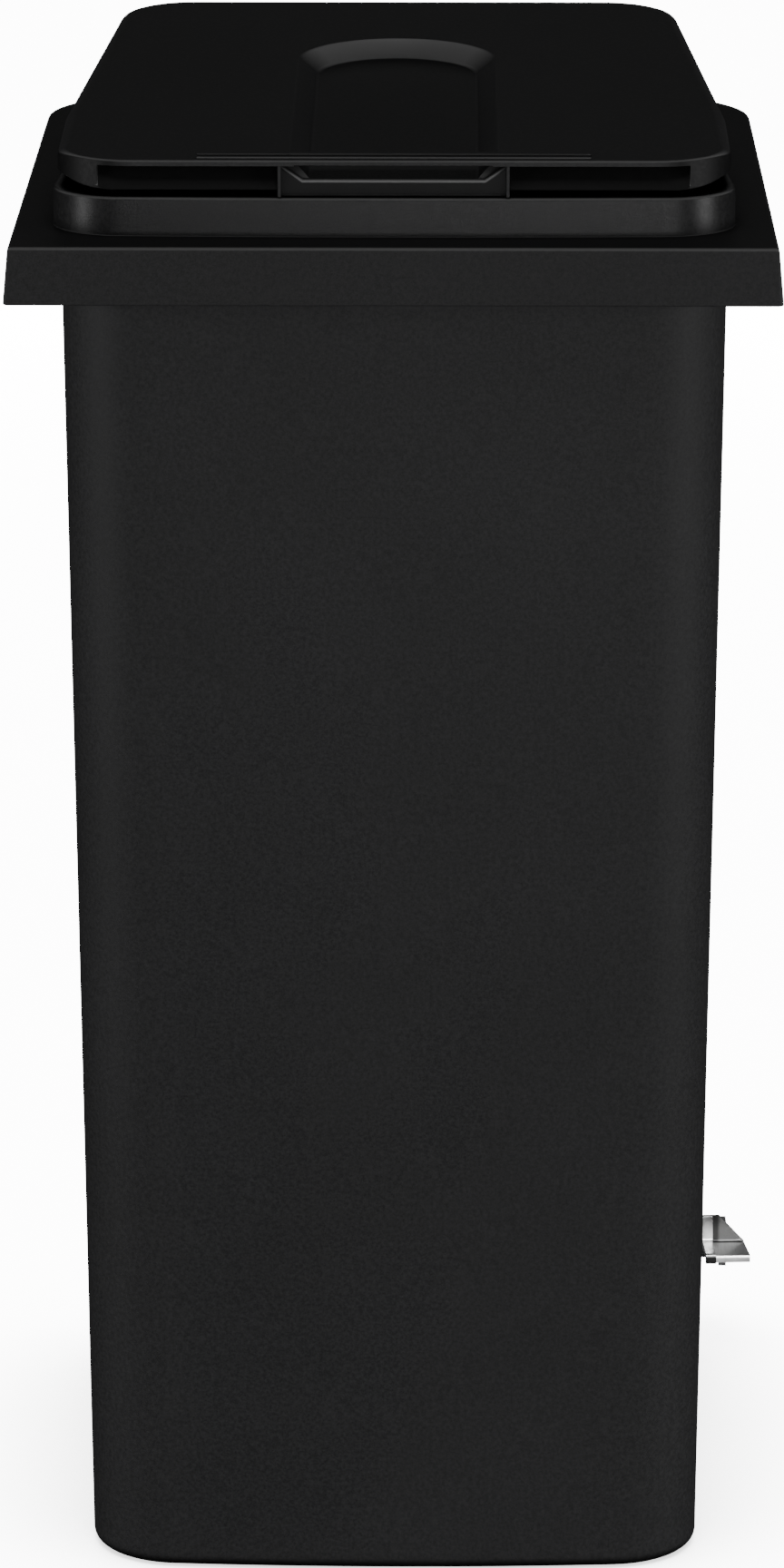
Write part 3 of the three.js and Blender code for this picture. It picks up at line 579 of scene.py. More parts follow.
def collar():
    """Plate and hanging skirt, open at the back where the handle is."""
    base = {
        "half": HALF_WIDTH, "front": FRONT, "rear": BACK,
        "front_radius": COLLAR_CORNER, "rear_radius": COLLAR_REAR_RADIUS,
    }
    rows = []
    for inset, z in collar_section():
        sizes = grown(base, -inset)
        sizes["front_radius"] = max(COLLAR_CORNER - inset * 0.5, 0.8)
        rows.append(at_height(open_outline(sizes), z))
    buried = open_outline(grown(NECK, -3))
    rows += [at_height(buried, z) for z in (COLLAR_TOP - WALL, COLLAR_TOP)]
    return loft(zip(*rows))


def handle():
    """Round bar between the collar's rear corners, a cheek at each end, and the plate's rear ledge."""
    centre = Vector((0, BACK - HANDLE_RADIUS, COLLAR_TOP - HANDLE_RADIUS))
    reach = HANDLE_HALF + 10
    bar = stacked([(reach * i / 24, HANDLE_RADIUS) for i in range(-24, 25)], centre, 48)
    wall_y = SHOULDER["rear"] - 2
    cheek = filleted([
        (wall_y, SKIRT_BOTTOM + 2), (centre.y, SKIRT_BOTTOM + 2), (BACK - 4, centre.z - 6),
        (BACK - 4, COLLAR_TOP - 1), (wall_y, COLLAR_TOP - 1),
    ], [0, 8, 6, 2, 0])
    cheeks = both_sides(plate(cheek, [], HANDLE_HALF, HANDLE_HALF + 6, 0.8))
    across = (-HANDLE_HALF - 2, HANDLE_HALF + 2)
    ledge = block(across, (NECK["rear"] - 4, HANDLE_GAP_FRONT), (COLLAR_TOP - WALL, COLLAR_TOP), 0.6)
    return [bar, *cheeks, ledge]


def hinge_lugs():
    """Lugs for the hinge pins, each on a bridge from the body to the handle bar."""
    made = []
    wall_y = SHOULDER["rear"] - 3
    bridge_end = BACK - HANDLE_RADIUS * 1.6
    for start in LUG_STATIONS:
        shape = [
            (wall_y, COLLAR_TOP - 30), (bridge_end, COLLAR_TOP - 20), (bridge_end, COLLAR_TOP),
            (HINGE.y + LUG_RADIUS + 3, COLLAR_TOP),
        ]
        shape += arc(HINGE.yz, LUG_RADIUS, 0, pi, 28)
        shape += [(HINGE.y - LUG_RADIUS, COLLAR_TOP - 2), (wall_y, COLLAR_TOP - 2)]
        hole = circle(HINGE.yz, PIN_BORE, 40)
        made += both_sides(plate(shape, [hole], start, start + LUG_THICKNESS, 0.8))
    return made


def comb_ribs():
    """Ribs under the collar's plate between the body and the skirt."""
    made = []
    height = (SKIRT_BOTTOM + 4, COLLAR_TOP - WALL + 1)
    inside_skirt = 3.5
    for x in range(-210, 211, COMB_PITCH["front"]):
        depth = (FRONT + inside_skirt, SHOULDER["front"] + 6)
        made.append(block((x - 1.5, x + 1.5), depth, height, 0.5))
    for y in range(-190, 161, COMB_PITCH["side"]):
        made += both_sides(block((198, HALF_WIDTH - inside_skirt), (y - 1.5, y + 1.5), height, 0.5))
    return made


def axle_webs():
    """Webs in the axle bay that carry the axle, with a round boss each."""
    made = []
    roof = AXLE_BAY_ROOF + 1
    for x in WEB_X:
        shape = [(AXLE_BAY_FRONT - 2, roof), (AXLE_BAY_FRONT - 2, AXLE.z - AXLE_BOSS)]
        shape += arc(AXLE.yz, AXLE_BOSS, -pi / 2, 0, 20)
        shape.append((AXLE.y + AXLE_BOSS, roof))
        made += both_sides(plate(shape, [circle(AXLE.yz, AXLE_BORE)], x - 3, x + 3, 0.7))
    return made


def container():
    """The whole moulding: body, neck, collar with its ribs, handle, lugs and webs."""
    return gather(
        body_shell(), neck_band(), collar(), *handle(), *hinge_lugs(), *comb_ribs(), *axle_webs(),
    )


# ---- lid

def along(y, start, end, low, high):
    """Height on a straight slope from low at start to high at end."""
    return low + (high - low) * (y - start) / (end - start)


def lid_top(y):
    """Height of the lid's sloping top."""
    return along(y, LID["front"], LID["rear"], LID_FRONT_TOP, LID_REAR_TOP)


def scoop_floor(y):
    """Height of the scoop's sloping floor."""
    return along(y, LID["front"], SCOOP_CENTRE + SCOOP_HALF, SCOOP_FRONT_FLOOR, SCOOP_REAR_FLOOR)


def smooth_step(value, start, end):
    """0 before start, 1 after end, and a smooth rise between them."""
    t = min(max((value - start) / (end - start), 0), 1)
    return t * t * (3 - 2 * t)


def lid_block(thickness, bottom):
    """Lid as a solid block: upright sides, wide rounded shoulders, a sharper front edge."""
    base = outline(**grown(LID, -thickness))
    front = LID["front"]
    wider = LID_SHOULDER - LIP_ROUNDING
    rounding = [LIP_ROUNDING + wider * smooth_step(y, front + 8, front + 60) for _, y in base]
    foot = 1.2 if thickness == 0 else 0

    def low_edge(lift):
        return lambda y: bottom + lift + LID_CORNER_RISE * smooth_step(y, front + 1, front + 30)
    rings = [
        at_height(inset_by(base, foot), low_edge(0)),
        at_height(inset_by(base, foot * 0.3), low_edge(foot * 0.3 + 0.01)),
        at_height(base, low_edge(foot + 0.02)),
    ]
    for i in range(9):
        turn = i * pi / 16
        shifted = inset_by(base, [r * (1 - cos(turn)) for r in rounding])
        rings.append([
            (x, y, lid_top(y) - thickness - r * (1 - sin(turn)))
            for (x, y), r in zip(shifted, rounding)
        ])
    return loft(rings)


def scoop_ring(half, height):
    """Long outline with a round back end, open towards the front of the lid."""
    front = LID["front"] - 20
    points = [(-half, front), (half, front)]
    points += [(half, front + (SCOOP_CENTRE - front) * i / 8) for i in range(1, 8)]
    points += arc((0, SCOOP_CENTRE), half, 0, pi, 48)
    points += [(-half, SCOOP_CENTRE + (front - SCOOP_CENTRE) * i / 8) for i in range(1, 8)]
    return at_height(points, height)


def scoop(extra):
    """Scoop for the hand: rounded where its floor meets the sides, eased at the top."""
    half = SCOOP_HALF + extra
    fillet = 3.5
    rings = []
    for i in range(6):
        turn = i * pi / 10 * 0.7
        width = half - fillet + fillet * sin(turn)
        lift = fillet * (1 - cos(turn)) - extra
        rings.append(scoop_ring(width, lambda y, lift=lift: scoop_floor(y) + lift))
    for out, rise in ((-1.6, -2.4), (-0.4, -1.0), (0.5, -0.35), (1.6, 0.02), (1.7, 20)):
        width = half + SCOOP_SLOPE + out
        rings.append(scoop_ring(width, lambda y, rise=rise: lid_top(y) + rise))
    return loft(rings)


def grip_wedge(extra):
    """Wedge of air under the front lip, for the fingers."""
    front = LID["front"]
    under = LIP_UNDER + extra * 0.2
    shape = [
        (front - 20, under), (front + GRIP_DEPTH + extra, under),
        (front + 0.5 + extra, LID_EDGE - 4), (front - 20, LID_EDGE - 4),
    ]
    return extruded(shape, -GRIP_HALF - extra, GRIP_HALF + extra)


def grip_bar():
    """Section of the lid that stays as a bar across the front of the scoop."""
    front, back = LID["front"] - 30, LID["front"] + BAR_DEPTH
    corners = [(front, LIP_UNDER), (back, LIP_UNDER + 1.1), (back, LID_REAR_TOP), (front, LID_REAR_TOP)]
    return extruded(filleted(corners, [0, 1.0, 0, 0]), -HALF_WIDTH, HALF_WIDTH)


def lid_shell():
    """Hollow lid with the scoop, the finger recesses and a cut for the hinges at the back."""
    outer = cut(lid_block(0, LID_EDGE), cut(scoop(0), grip_bar()), grip_wedge(0))
    hollow = cut(lid_block(LID_WALL, LID_EDGE - 5), scoop(SCOOP_WALL), grip_wedge(LID_WALL))
    return cut(outer, hollow, extruded(LID_REAR_CUT, -HALF_WIDTH, HALF_WIDTH))


def lid_grip():
    """Ribs under the bar across the scoop's front, and the notched wall between them."""
    front, foot = LID["front"], NECK_TOP + GAP
    rib_x = (GRIP_RIB_X - GRIP_RIB_WIDTH / 2, GRIP_RIB_X + GRIP_RIB_WIDTH / 2)
    ribs = both_sides(block(rib_x, (front + 0.6, front + GRIP_DEPTH + 3), (foot, LIP_UNDER + 1), 0.4))
    half = [
        (GRIP_RIB_X + 1, foot), (GRIP_RIB_X + 1, LIP_UNDER + 1.5),
        (SCOOP_HALF + 2, SCOOP_FRONT_FLOOR + 0.6),
    ]
    notched = half + [(-x, z) for x, z in reversed(half)]
    return [*ribs, plate(notched, [], front + 2.4, front + 8, NOTCH_ROUNDING, axis="y")]


def lid_ridges():
    """Two low rounded ridges across the lid just behind its front edge."""
    made = []
    for offset in RIDGE_OFFSETS:
        y = LID["front"] + offset
        height = (lid_top(y) - 2, lid_top(y) + 1.3)
        made.append(block((-RIDGE_HALF, RIDGE_HALF), (y, y + RIDGE_WIDTH), height, 1.2))
    return made


def hinge_knuckles():
    """Eyes under the lid between the container's lugs."""
    reach = (LUG_STATIONS[0] + LUG_THICKNESS + 1, LUG_STATIONS[1] - 1)
    roof = lid_top(HINGE.y) - 3
    shape = arc(HINGE.yz, LUG_RADIUS - 1, pi, 2 * pi, 28)
    shape += [(HINGE.y + 9, roof), (HINGE.y - 9, roof)]
    return both_sides(plate(shape, [circle(HINGE.yz, PIN_BORE, 40)], *reach, 0.8))


def lid_inside():
    """Wall in front of the hinges, and the block that the crank is screwed to."""
    wall_y = HINGE.y - 20
    half = LID["rear_half"] - 2
    wall = block((-half, half), (wall_y, wall_y + 3), (NECK_TOP + 1.5, lid_top(wall_y) - 2), 0.6)
    low, high = box_of("lid_crank")
    height = (high.z + GAP, lid_top(low.y) - 1)
    return [wall, block((low.x - 10, high.x + 2), (low.y - 2, high.y + 2), height, 0.8)]


def lid():
    """The whole lid moulding."""
    return gather(lid_shell(), *lid_grip(), *lid_ridges(), *hinge_knuckles(), *lid_inside())


# ---- wheels

def wheel_ring(profile, centre, side, segments):
    """Ring of the wheel on one side, from a closed (radius, distance outwards) profile."""
    return turned([(r, side * (WHEEL_X + x)) for r, x in profile], centre, segments)


def hub(side):
    """Moulded hub: rounded rim, dished web with round holes, long inner boss."""
    profile = [
        (AXLE_BORE, -BOSS_REACH), (BOSS_RADIUS, -BOSS_REACH), (BOSS_RADIUS - 2, -4),
        (HUB_RADIUS - 10, -3), (HUB_RADIUS - 8, -HUB_HALF_WIDTH), (HUB_RADIUS, -HUB_HALF_WIDTH),
        (HUB_RADIUS, HUB_HALF_WIDTH), (HUB_RADIUS - 8, HUB_HALF_WIDTH), (HUB_RADIUS - 10, 5),
        (BOSS_RADIUS, 5), (BOSS_RADIUS - 2, HUB_HALF_WIDTH), (AXLE_BORE, HUB_HALF_WIDTH),
    ]
    rounded = filleted(profile, [0.8, 1.5, 4, 4, 1.5, 1, 1, 1.5, 4, 4, 1.5, 0.8], 4)
    disc = wheel_ring(rounded, AXLE, side, 120)
    limits = sorted((side * (WHEEL_X - 10), side * (WHEEL_X + 12)))
    collar_profile = filleted(rectangle(HUB_HOLE_RADIUS - 0.8, -5.5, HUB_HOLE_RADIUS + 1.6, 7.5), 0.6, 2)
    collars = []
    for i in range(HUB_HOLES):
        turn = (i + 0.5) * 2 * pi / HUB_HOLES
        y, z = AXLE.y + HUB_HOLE_CIRCLE * cos(turn), AXLE.z + HUB_HOLE_CIRCLE * sin(turn)
        centre = Vector((0, y, z))
        disc = cut(disc, extruded(circle(centre.yz, HUB_HOLE_RADIUS, 40), *limits))
        collars.append(wheel_ring(collar_profile, centre, side, 48))
    return gather(disc, *collars)


def tyre(side):
    """Solid rubber tyre with grooves round its tread."""
    inner = HUB_RADIUS + GAP
    half = (TYRE_HIGH.x - TYRE_LOW.x) / 2
    outer = WHEEL_RADIUS
    floor = outer - GROOVE_DEPTH
    profile = [(inner, -16), (outer - 10, -half), (outer - 3.5, -half + 0.8), (outer - 0.4, -half + 7)]
    for groove in TYRE_GROOVES:
        profile += [
            (outer, groove - 1.6), (floor, groove - 0.8), (floor, groove + 0.8), (outer, groove + 1.6),
        ]
    profile += [(outer - 0.4, half - 7), (outer - 3.5, half - 0.8), (outer - 10, half), (inner, 16)]
    return wheel_ring(filleted(profile, 0.9, 3), AXLE, side, 160)


def axle_cap(side):
    """Push-on cap with a domed face."""
    low, high = box_of("axle_cap_right")
    radius = (high.z - low.z) / 2
    face = high.x - CAP_SETBACK
    rows = [
        (low.x, AXLE_BORE + 1), (low.x, radius - 0.6), (low.x + 0.6, radius), (face - 1.8, radius),
        (face - 0.7, radius - 1.6), (face - 0.2, radius * 0.6), (face, radius * 0.2),
    ]
    return stacked([(side * x, r) for x, r in rows], AXLE, 64)


# ---- pedal and linkage

def toed_out(mesh):
    """Turn a pedal piece out a little about the inner rear corner of the tread."""
    pivot = Matrix.Translation((TREAD["left"], TREAD["rear"], 0))
    mesh.transform(pivot @ Matrix.Rotation(PEDAL_TOE_OUT, 4, "Z") @ pivot.inverted())
    return mesh


def folded_sheet(columns, front, rear, top, lip, thickness, bend=FOLD_RADIUS):
    """Bent sheet: turned-down lip, flat tread, upstand whose height follows the columns.
    Each column is (x at the front, x at the back, height of the upstand)."""
    bm = bmesh.new()
    rows = []
    quarter = [(bend * (1 - sin(t)), bend * (1 - cos(t))) for t in (pi / 2, pi / 3, pi / 6, 0)]
    corner = [(front + back, top - drop) for back, drop in quarter]
    for x_front, x_rear, height in columns:
        rise = max(height, 0.2)
        squash = min(1, rise / (bend + 0.2))
        foot = [(rear - back, top + lift * squash) for back, lift in reversed(quarter)]
        profile = [(front, top - lip), *corner, *foot, (rear, top + rise)]
        row = []
        for y, z in profile:
            share = (y - front) / (rear - front)
            row.append(bm.verts.new((x_front + (x_rear - x_front) * share, y, z)))
        rows.append(row)
    for first, second in zip(rows, rows[1:]):
        for i in range(len(first) - 1):
            bm.faces.new((first[i], second[i], second[i + 1], first[i + 1]))
    mesh = mesh_of(bm)
    sheet = link("sheet", mesh)
    solid = sheet.modifiers.new("thickness", "SOLIDIFY")
    solid.thickness = thickness
    solid.offset = -1 if mesh.polygons[len(corner) // 2].normal.z > 0 else 1
    return evaluated_mesh(sheet)


def pedal_tread():
    """Tread with its lip; the upstand is level first and then slopes down to the outer end."""
    t = TREAD
    slope_start = t["left"] + UPSTAND_LEVEL
    slope_end = t["right"] - TREAD_TAPER
    columns = [(t["left"], t["left"], UPSTAND_HEIGHT), (slope_start, slope_start, UPSTAND_HEIGHT)]
    for i in range(1, 7):
        share = i / 6
        x_rear = slope_start + (slope_end - slope_start) * share
        columns.append((x_rear + TREAD_TAPER * share, x_rear, UPSTAND_HEIGHT * (1 - share)))
    return toed_out(folded_sheet(columns, t["front"], t["rear"], t["top"], TREAD_LIP, PEDAL_SHEET))


def pedal_doubler():
    """Thin strip folded over the tread's inner end."""
    sheet = DOUBLER["sheet"]
    left = TREAD["left"]
    columns = [(x, x, UPSTAND_HEIGHT - 1) for x in (left, left + DOUBLER["width"])]
    front = TREAD["front"] - GAP - sheet
    rear = TREAD["rear"] - PEDAL_SHEET - GAP
    lip = DOUBLER["lip"] + sheet
    return toed_out(folded_sheet(columns, front, rear, DOUBLER_TOP, lip, sheet, DOUBLER["fold"]))


def cross_tube():
    """Square tube with rounded corners and open ends."""
    def section(inset, radius):
        low, high = TUBE_LOW.yz, TUBE_HIGH.yz
        corners = rectangle(low[0] + inset, low[1] + inset, high[0] - inset, high[1] - inset)
        return filleted(corners, radius)
    outer = section(0, 3.2)
    inner = section(2.5, 1.2)
    stations = [(TUBE_LOW.x, outer), (TUBE_HIGH.x, outer), (TUBE_HIGH.x, inner), (TUBE_LOW.x, inner)]
    return loft([[(x, y, z) for y, z in shape] for x, shape in stations], closed=True)


def pedal_arm(x, drives_rod):
    """Flat steel arm that turns on the axle; the outer one is taller and carries the rod's slot."""
    end = TUBE_LOW.y - GAP
    shape = arc(AXLE.yz, ARM_EYE, radians(100), radians(262), 28)
    shape += [(end, TUBE_LOW.z + 1), (end, TUBE_HIGH.z - 1)]
    holes = []
    if drives_rod:
        shape.append((end - 12, TUBE_HIGH.z - 3))
        shape += arc((ARM_PIN.y + 2, ARM_PIN.z), 12.5, radians(15), radians(100), 14)
        slot_half = ROD_RADIUS + 1.2
        slot = arc(ARM_PIN.yz, slot_half, pi / 2, 1.5 * pi, 14)
        slot += arc((ARM_PIN.y + 5, ARM_PIN.z), slot_half, -pi / 2, pi / 2, 14)
        holes.append(slot)
    holes.append(circle(AXLE.yz, BUSH_RADIUS + GAP, 56))
    half = ARM_THICKNESS / 2
    return plate(shape, holes, x - half, x + half, 0.5)


def rod_path():
    """Points of the rod: hook, rounded elbow, long straight leg, elbow, hook."""
    elbow_x = ROD_X - ROD_BEND
    points = [(ROD_LOW.x, CRANK_PIN.z)]
    points += arc((elbow_x, CRANK_PIN.z - ROD_BEND), ROD_BEND, pi / 2, 0, 8)
    points += [(ROD_X, CRANK_PIN.z + (ARM_PIN.z - CRANK_PIN.z) * i / 12) for i in range(1, 12)]
    points += arc((elbow_x, ARM_PIN.z + ROD_BEND), ROD_BEND, 0, -pi / 2, 8)
    points.append((ROD_LOW.x, ARM_PIN.z))
    return [Vector((x, ROD_Y, z)) for x, z in points]


def pull_rod():
    """Round rod swept along its path."""
    path = rod_path()
    rings = []
    for i, point in enumerate(path):
        ahead = path[min(i + 1, len(path) - 1)] - path[max(i - 1, 0)]
        side = Vector((ahead.z, 0, -ahead.x)).normalized()
        rings.append([
            point + side * (ROD_RADIUS * cos(t)) + Vector((0, ROD_RADIUS * sin(t), 0))
            for t in turns(24)
        ])
    return loft(rings)


def rod_cap(pin):
    """Push-on cap with a thin flange, on the end of a hook."""
    low, high = box_of("rod_cap_upper")
    radius = (high.z - low.z) / 2
    rows = [
        (low.x, radius - 2.2), (low.x + 0.6, radius - 1), (low.x + 2.2, radius - 0.6),
        (low.x + 2.6, radius), (high.x - 0.4, radius), (high.x, radius - 0.6),
    ]
    return stacked(rows, pin, 40)


def lid_crank():
    """Angle plate: a flange under the lid and a web with the hole for the rod."""
    low, high = box_of("lid_crank")
    top = high.z
    shape = [(low.y, top), (low.y, top - 6), (CRANK_PIN.y - 8, CRANK_PIN.z - 1)]
    shape += arc(CRANK_PIN.yz, 8, radians(190), radians(350), 18)
    shape += [(high.y, top - 4), (high.y, top)]
    web = plate(shape, [circle(CRANK_PIN.yz, ROD_RADIUS + GAP, 32)], low.x, low.x + 4, 0.4)
    flange = filleted(rectangle(*low.xy, *high.xy), [0.5, 4, 4, 0.5])
    return gather(web, plate(flange, [], top - 3, top, 0.4, axis="z"))


def screw_head(name, axis, shank):
    """Pan head on the shank of a CAD screw. An upright screw has its head below, others behind."""
    low, high = box_of(name)
    radius = (high.x - low.x) / 2
    upright = axis == 2
    head, tip = (low[axis], high[axis]) if upright else (high[axis], low[axis])
    inward = 1 if upright else -1
    head_rows = [(0, 0.45), (0.3, 0.8), (1.2, 1), (3, 1), (3.01, shank)]
    rows = [(head + inward * depth, radius * share) for depth, share in head_rows]
    rows.append((tip, radius * shank))
    return stacked(rows, (low + high) / 2, 40, axis)


def rod_guide():
    """Guide on the back wall with a slot for the rod."""
    wall_y, nose_y = GUIDE_LOW.y, GUIDE_HIGH.y
    flange = plate(filleted(rectangle(*GUIDE_LOW.xz, *GUIDE_HIGH.xz), 5), [], wall_y, wall_y + 3, axis="y")
    left, right = ROD_X - 12, ROD_X + 8
    slot_half = ROD_RADIUS + 1
    nose = [(left, wall_y + 2), (right, wall_y + 2), (right, nose_y), (ROD_X + slot_half, nose_y)]
    nose += arc((ROD_X, ROD_Y), slot_half, 0, -pi, 16)
    nose += [(ROD_X - slot_half, nose_y), (left, nose_y)]
    middle = (GUIDE_LOW.z + GUIDE_HIGH.z) / 2
    return gather(flange, plate(nose, [], middle - 8, middle + 8, 0.8, axis="z"))


# ---- materials

class Nodes:
    """Short helper that adds and links shader nodes of one material. Heights and widths are in mm."""

    def __init__(self, name):
        self.material = bpy.data.materials.new(name)
        self.material.use_nodes = True
        self.tree = self.material.node_tree
        self.shader = self.tree.nodes["Principled BSDF"]
        coordinates = self.add("ShaderNodeTexCoord")
        self.point = coordinates.outputs["Object"]
        self.normal = coordinates.outputs["Normal"]

    def add(self, kind, inputs=None, **settings):
        made = self.tree.nodes.new(kind)
        for key, value in settings.items():
            setattr(made, key, value)
        for key, value in (inputs or {}).items():
            self.plug(made.inputs[key], value)
        return made

    def plug(self, socket, value):
        if isinstance(value, bpy.types.NodeSocket):
            self.tree.links.new(value, socket)
        else:
            socket.default_value = value

    def parts(self, vector):
        """X, Y and Z of a vector."""
        return self.add("ShaderNodeSeparateXYZ", {"Vector": vector}).outputs

    def math(self, operation, *values):
        return self.add("ShaderNodeMath", dict(enumerate(values)), operation=operation).outputs[0]

    def product(self, first, second):
        return self.math("MULTIPLY", first, second)

    def stretched(self, scale):
        return self.add("ShaderNodeMapping", {"Vector": self.point, "Scale": scale}).outputs["Vector"]

    def noise(self, scale, detail, roughness=0.5, vector=None):
        inputs = {"Vector": vector or self.point, "Scale": scale}
        inputs |= {"Detail": detail, "Roughness": roughness}
        return self.add("ShaderNodeTexNoise", inputs).outputs["Fac"]

    def ranged(self, value, low, high, to_low=0.0, to_high=1.0):
        inputs = {"Value": value, "From Min": low, "From Max": high, "To Min": to_low, "To Max": to_high}
        return self.add("ShaderNodeMapRange", inputs).outputs["Result"]

    def over(self, value, limit, soft):
        """0 up to a limit in mm, 1 beyond it and a soft step."""
        return self.ranged(value, limit * MM, (limit + soft) * MM)

    def below(self, value, limit, soft):
        """1 up to a limit in mm, 0 beyond it and a soft step."""
        return self.ranged(value, (limit + soft) * MM, limit * MM)

    def mix(self, factor, first, second):
        inputs = {0: factor, 6: first, 7: second}
        return self.add("ShaderNodeMix", inputs, data_type="RGBA").outputs[2]

    def scaled(self, colour, factor):
        inputs = {0: colour, "Scale": factor}
        return self.add("ShaderNodeVectorMath", inputs, operation="SCALE").outputs["Vector"]

    def bump(self, height, strength, distance, under=None):
        """Bumped normal, on top of another one if it is given; the distance is in mm."""
        inputs = {"Height": height, "Strength": strength, "Distance": distance * MM}
        if under is not None:
            inputs["Normal"] = under
        return self.add("ShaderNodeBump", inputs).outputs["Normal"]

    def openness(self, reach):
        """1 on an open face, less where something is closer than reach; it masks painted shade."""
        return self.add("ShaderNodeAmbientOcclusion", {"Distance": reach * MM}, samples=8).outputs["AO"]

    def height(self):
        return self.parts(self.point)["Z"]

    def upright(self):
        """1 on upright walls, 0 on faces that look up or down."""
        return self.ranged(self.math("ABSOLUTE", self.parts(self.normal)["Z"]), 0.5, 0.3)

    def use(self, values):
        """Plug several sockets of the shader, by name."""
        for name, value in values.items():
            self.plug(self.shader.inputs[name], value)
        return self.material


def grey(value, tint=0.0):
    """Grey colour; a tint makes it a little bluer, or warmer if it is negative."""
    return (value, value, value * (1 + tint), 1)


class Plastic(Nodes):
    """Black moulded plastic of one brightness, with a fine spark-eroded grain."""

    def __init__(self, name, level, roughness, grain=0.8):
        super().__init__(name)
        self.level = level
        self.grain = self.noise(1 / (grain * MM), 2, 0.6)
        self.speckle = self.noise(400, 2, 0.7)
        self.rough = self.ranged(self.speckle, 0.3, 0.7, roughness - 0.05, roughness + 0.06)

    def tone(self, share, tint=0.0):
        """Grey that is a share of the plastic's brightness."""
        return grey(self.level * share, tint)

    def blotched(self):
        """The plain colour with wide, faint blotches."""
        blotches = self.ranged(self.noise(9, 3), 0.35, 0.65)
        return self.mix(blotches, self.tone(0.96, 0.02), self.tone(1.04, 0.03))

    def grained(self, base):
        """A base colour with speckles, grain and pale scuffs on it."""
        speckles = self.ranged(self.speckle, 0.35, 0.7)
        speckled = self.mix(speckles, self.scaled(base, 0.76), self.scaled(base, 1.33))
        grained = self.mix(self.ranged(self.grain, 0.4, 0.75, 0, 0.5), speckled, self.tone(1.5, 0.02))
        scuffs = self.noise(30, 6, 0.72, self.stretched((1, 5, 5)))
        return self.mix(self.ranged(scuffs, 0.68, 0.8, 0, 0.25), grained, self.tone(2.2))

    def painted_sheen(self, colour, sheen_colour):
        """A colour with a painted highlight: lighter on rounded or sloping faces that look up and to the
        front.
        """
        _, y, z = self.parts(self.normal)
        sloping = self.product(self.ranged(z, 0.2, 0.45), self.ranged(z, 0.985, 0.93))
        return self.mix(self.product(sloping, self.ranged(y, -0.1, -0.4, 0, 0.75)), colour, sheen_colour)

    def painted_nook_shade(self):
        """Painted shade in nooks: almost 0 in a tight nook, 1 on an open face."""
        return self.ranged(self.openness(16), 0.3, 0.85, 0.1, 1)

    def finished(self, colour, painted_nook_shade, rough, specular):
        """The material: painted shade, almost black, where faces are not open, with the grain as a bump.
        """
        low = self.bump(self.speckle, 0.05, 0.2)
        return self.use({
            "Base Color": self.mix(painted_nook_shade, self.tone(0.05), colour),
            "Roughness": rough,
            "Specular IOR Level": specular,
            "Normal": self.bump(self.grain, 0.35, 0.12, low),
        })


def hub_plastic():
    """Black plastic with a coarser grain, for hubs, caps and the rod guide, with a painted highlight on
    slopes that look up and forward and painted shade in nooks.
    """
    p = Plastic("hub_black", 0.018, 0.42, 1.2)
    colour = p.painted_sheen(p.grained(p.blotched()), p.tone(4))
    return p.finished(colour, p.painted_nook_shade(), p.rough, 0.5)


def painted_light_by_height(p):
    """Brightness of the container's plastic by height: painted light makes it lighter near the floor,
    painted shade makes it darker on the skirt.
    """
    z = p.height()
    skirt = p.product(p.over(z, SKIRT_BOTTOM - 0.5, 0.5), p.below(z, COLLAR_TOP - 2, 1))
    return p.math("ADD", p.ranged(z, 0, 0.4, 1.15, 1), p.product(skirt, -0.22))


def container_plastic():
    """Black plastic with painted light and shade by height, a painted highlight on slopes that look up and
    forward, and painted shade in nooks; its neck above the collar is darker and smoother, and the neck's
    upright walls have no painted nook shade.
    """
    p = Plastic("container_black", 0.028, 0.6)
    neck = p.over(p.height(), COLLAR_TOP + 0.5, 0.5)
    base = p.scaled(p.blotched(), painted_light_by_height(p))
    base = p.mix(neck, base, p.scaled(base, 0.55))
    colour = p.painted_sheen(p.grained(base), p.tone(4))
    painted_nook_shade = p.math("MAXIMUM", p.painted_nook_shade(), p.product(neck, p.upright()))
    return p.finished(colour, painted_nook_shade, p.math("ADD", p.rough, p.product(neck, -0.24)), 0.18)


def brighter_painted_sheen(p):
    """1 behind the lid's front edge and under its lip, where the painted highlight on slopes is brighter.
    """
    _, y, z = p.parts(p.point)
    behind_edge = p.over(y, LID["front"] + 60, 5)
    return p.math("MAXIMUM", behind_edge, p.below(z, LIP_UNDER - 0.7, 0.2))


def painted_shade_corners(p):
    """Painted shade: 1 on the upright walls round the lid's two front corners, 0 elsewhere."""
    sideways = p.ranged(p.math("ABSOLUTE", p.parts(p.normal)["X"]), 0.02, 0.3)
    near_front = p.below(p.parts(p.point)["Y"], LID["front"] + LID["front_radius"], 20)
    return p.product(p.product(sideways, near_front), p.upright())


def painted_shade_grip_front(p):
    """Painted shade: 1 on the flat front of the notched wall between the grip ribs, 0 elsewhere."""
    x, _, z = p.parts(p.point)
    between = p.below(p.math("ABSOLUTE", x), GRIP_RIB_X - GRIP_RIB_WIDTH / 2 - 0.1, 0.1)
    inside = p.product(between, p.below(z, LIP_UNDER - 0.2, 0.2))
    return p.product(inside, p.ranged(p.parts(p.normal)["Y"], -0.9, -0.98))


def painted_shade_recess(p):
    """Painted shade: 1 on the walls of the finger recesses beside the grip ribs, 0 elsewhere."""
    x, _, z = p.parts(p.point)
    off_centre = p.math("ABSOLUTE", x)
    across = p.product(
        p.over(off_centre, GRIP_RIB_X + GRIP_RIB_WIDTH / 2 - 0.2, 0.1),
        p.below(off_centre, GRIP_HALF - 0.4, 0.1),
    )
    return p.product(across, p.below(z, LIP_UNDER, 0.2))


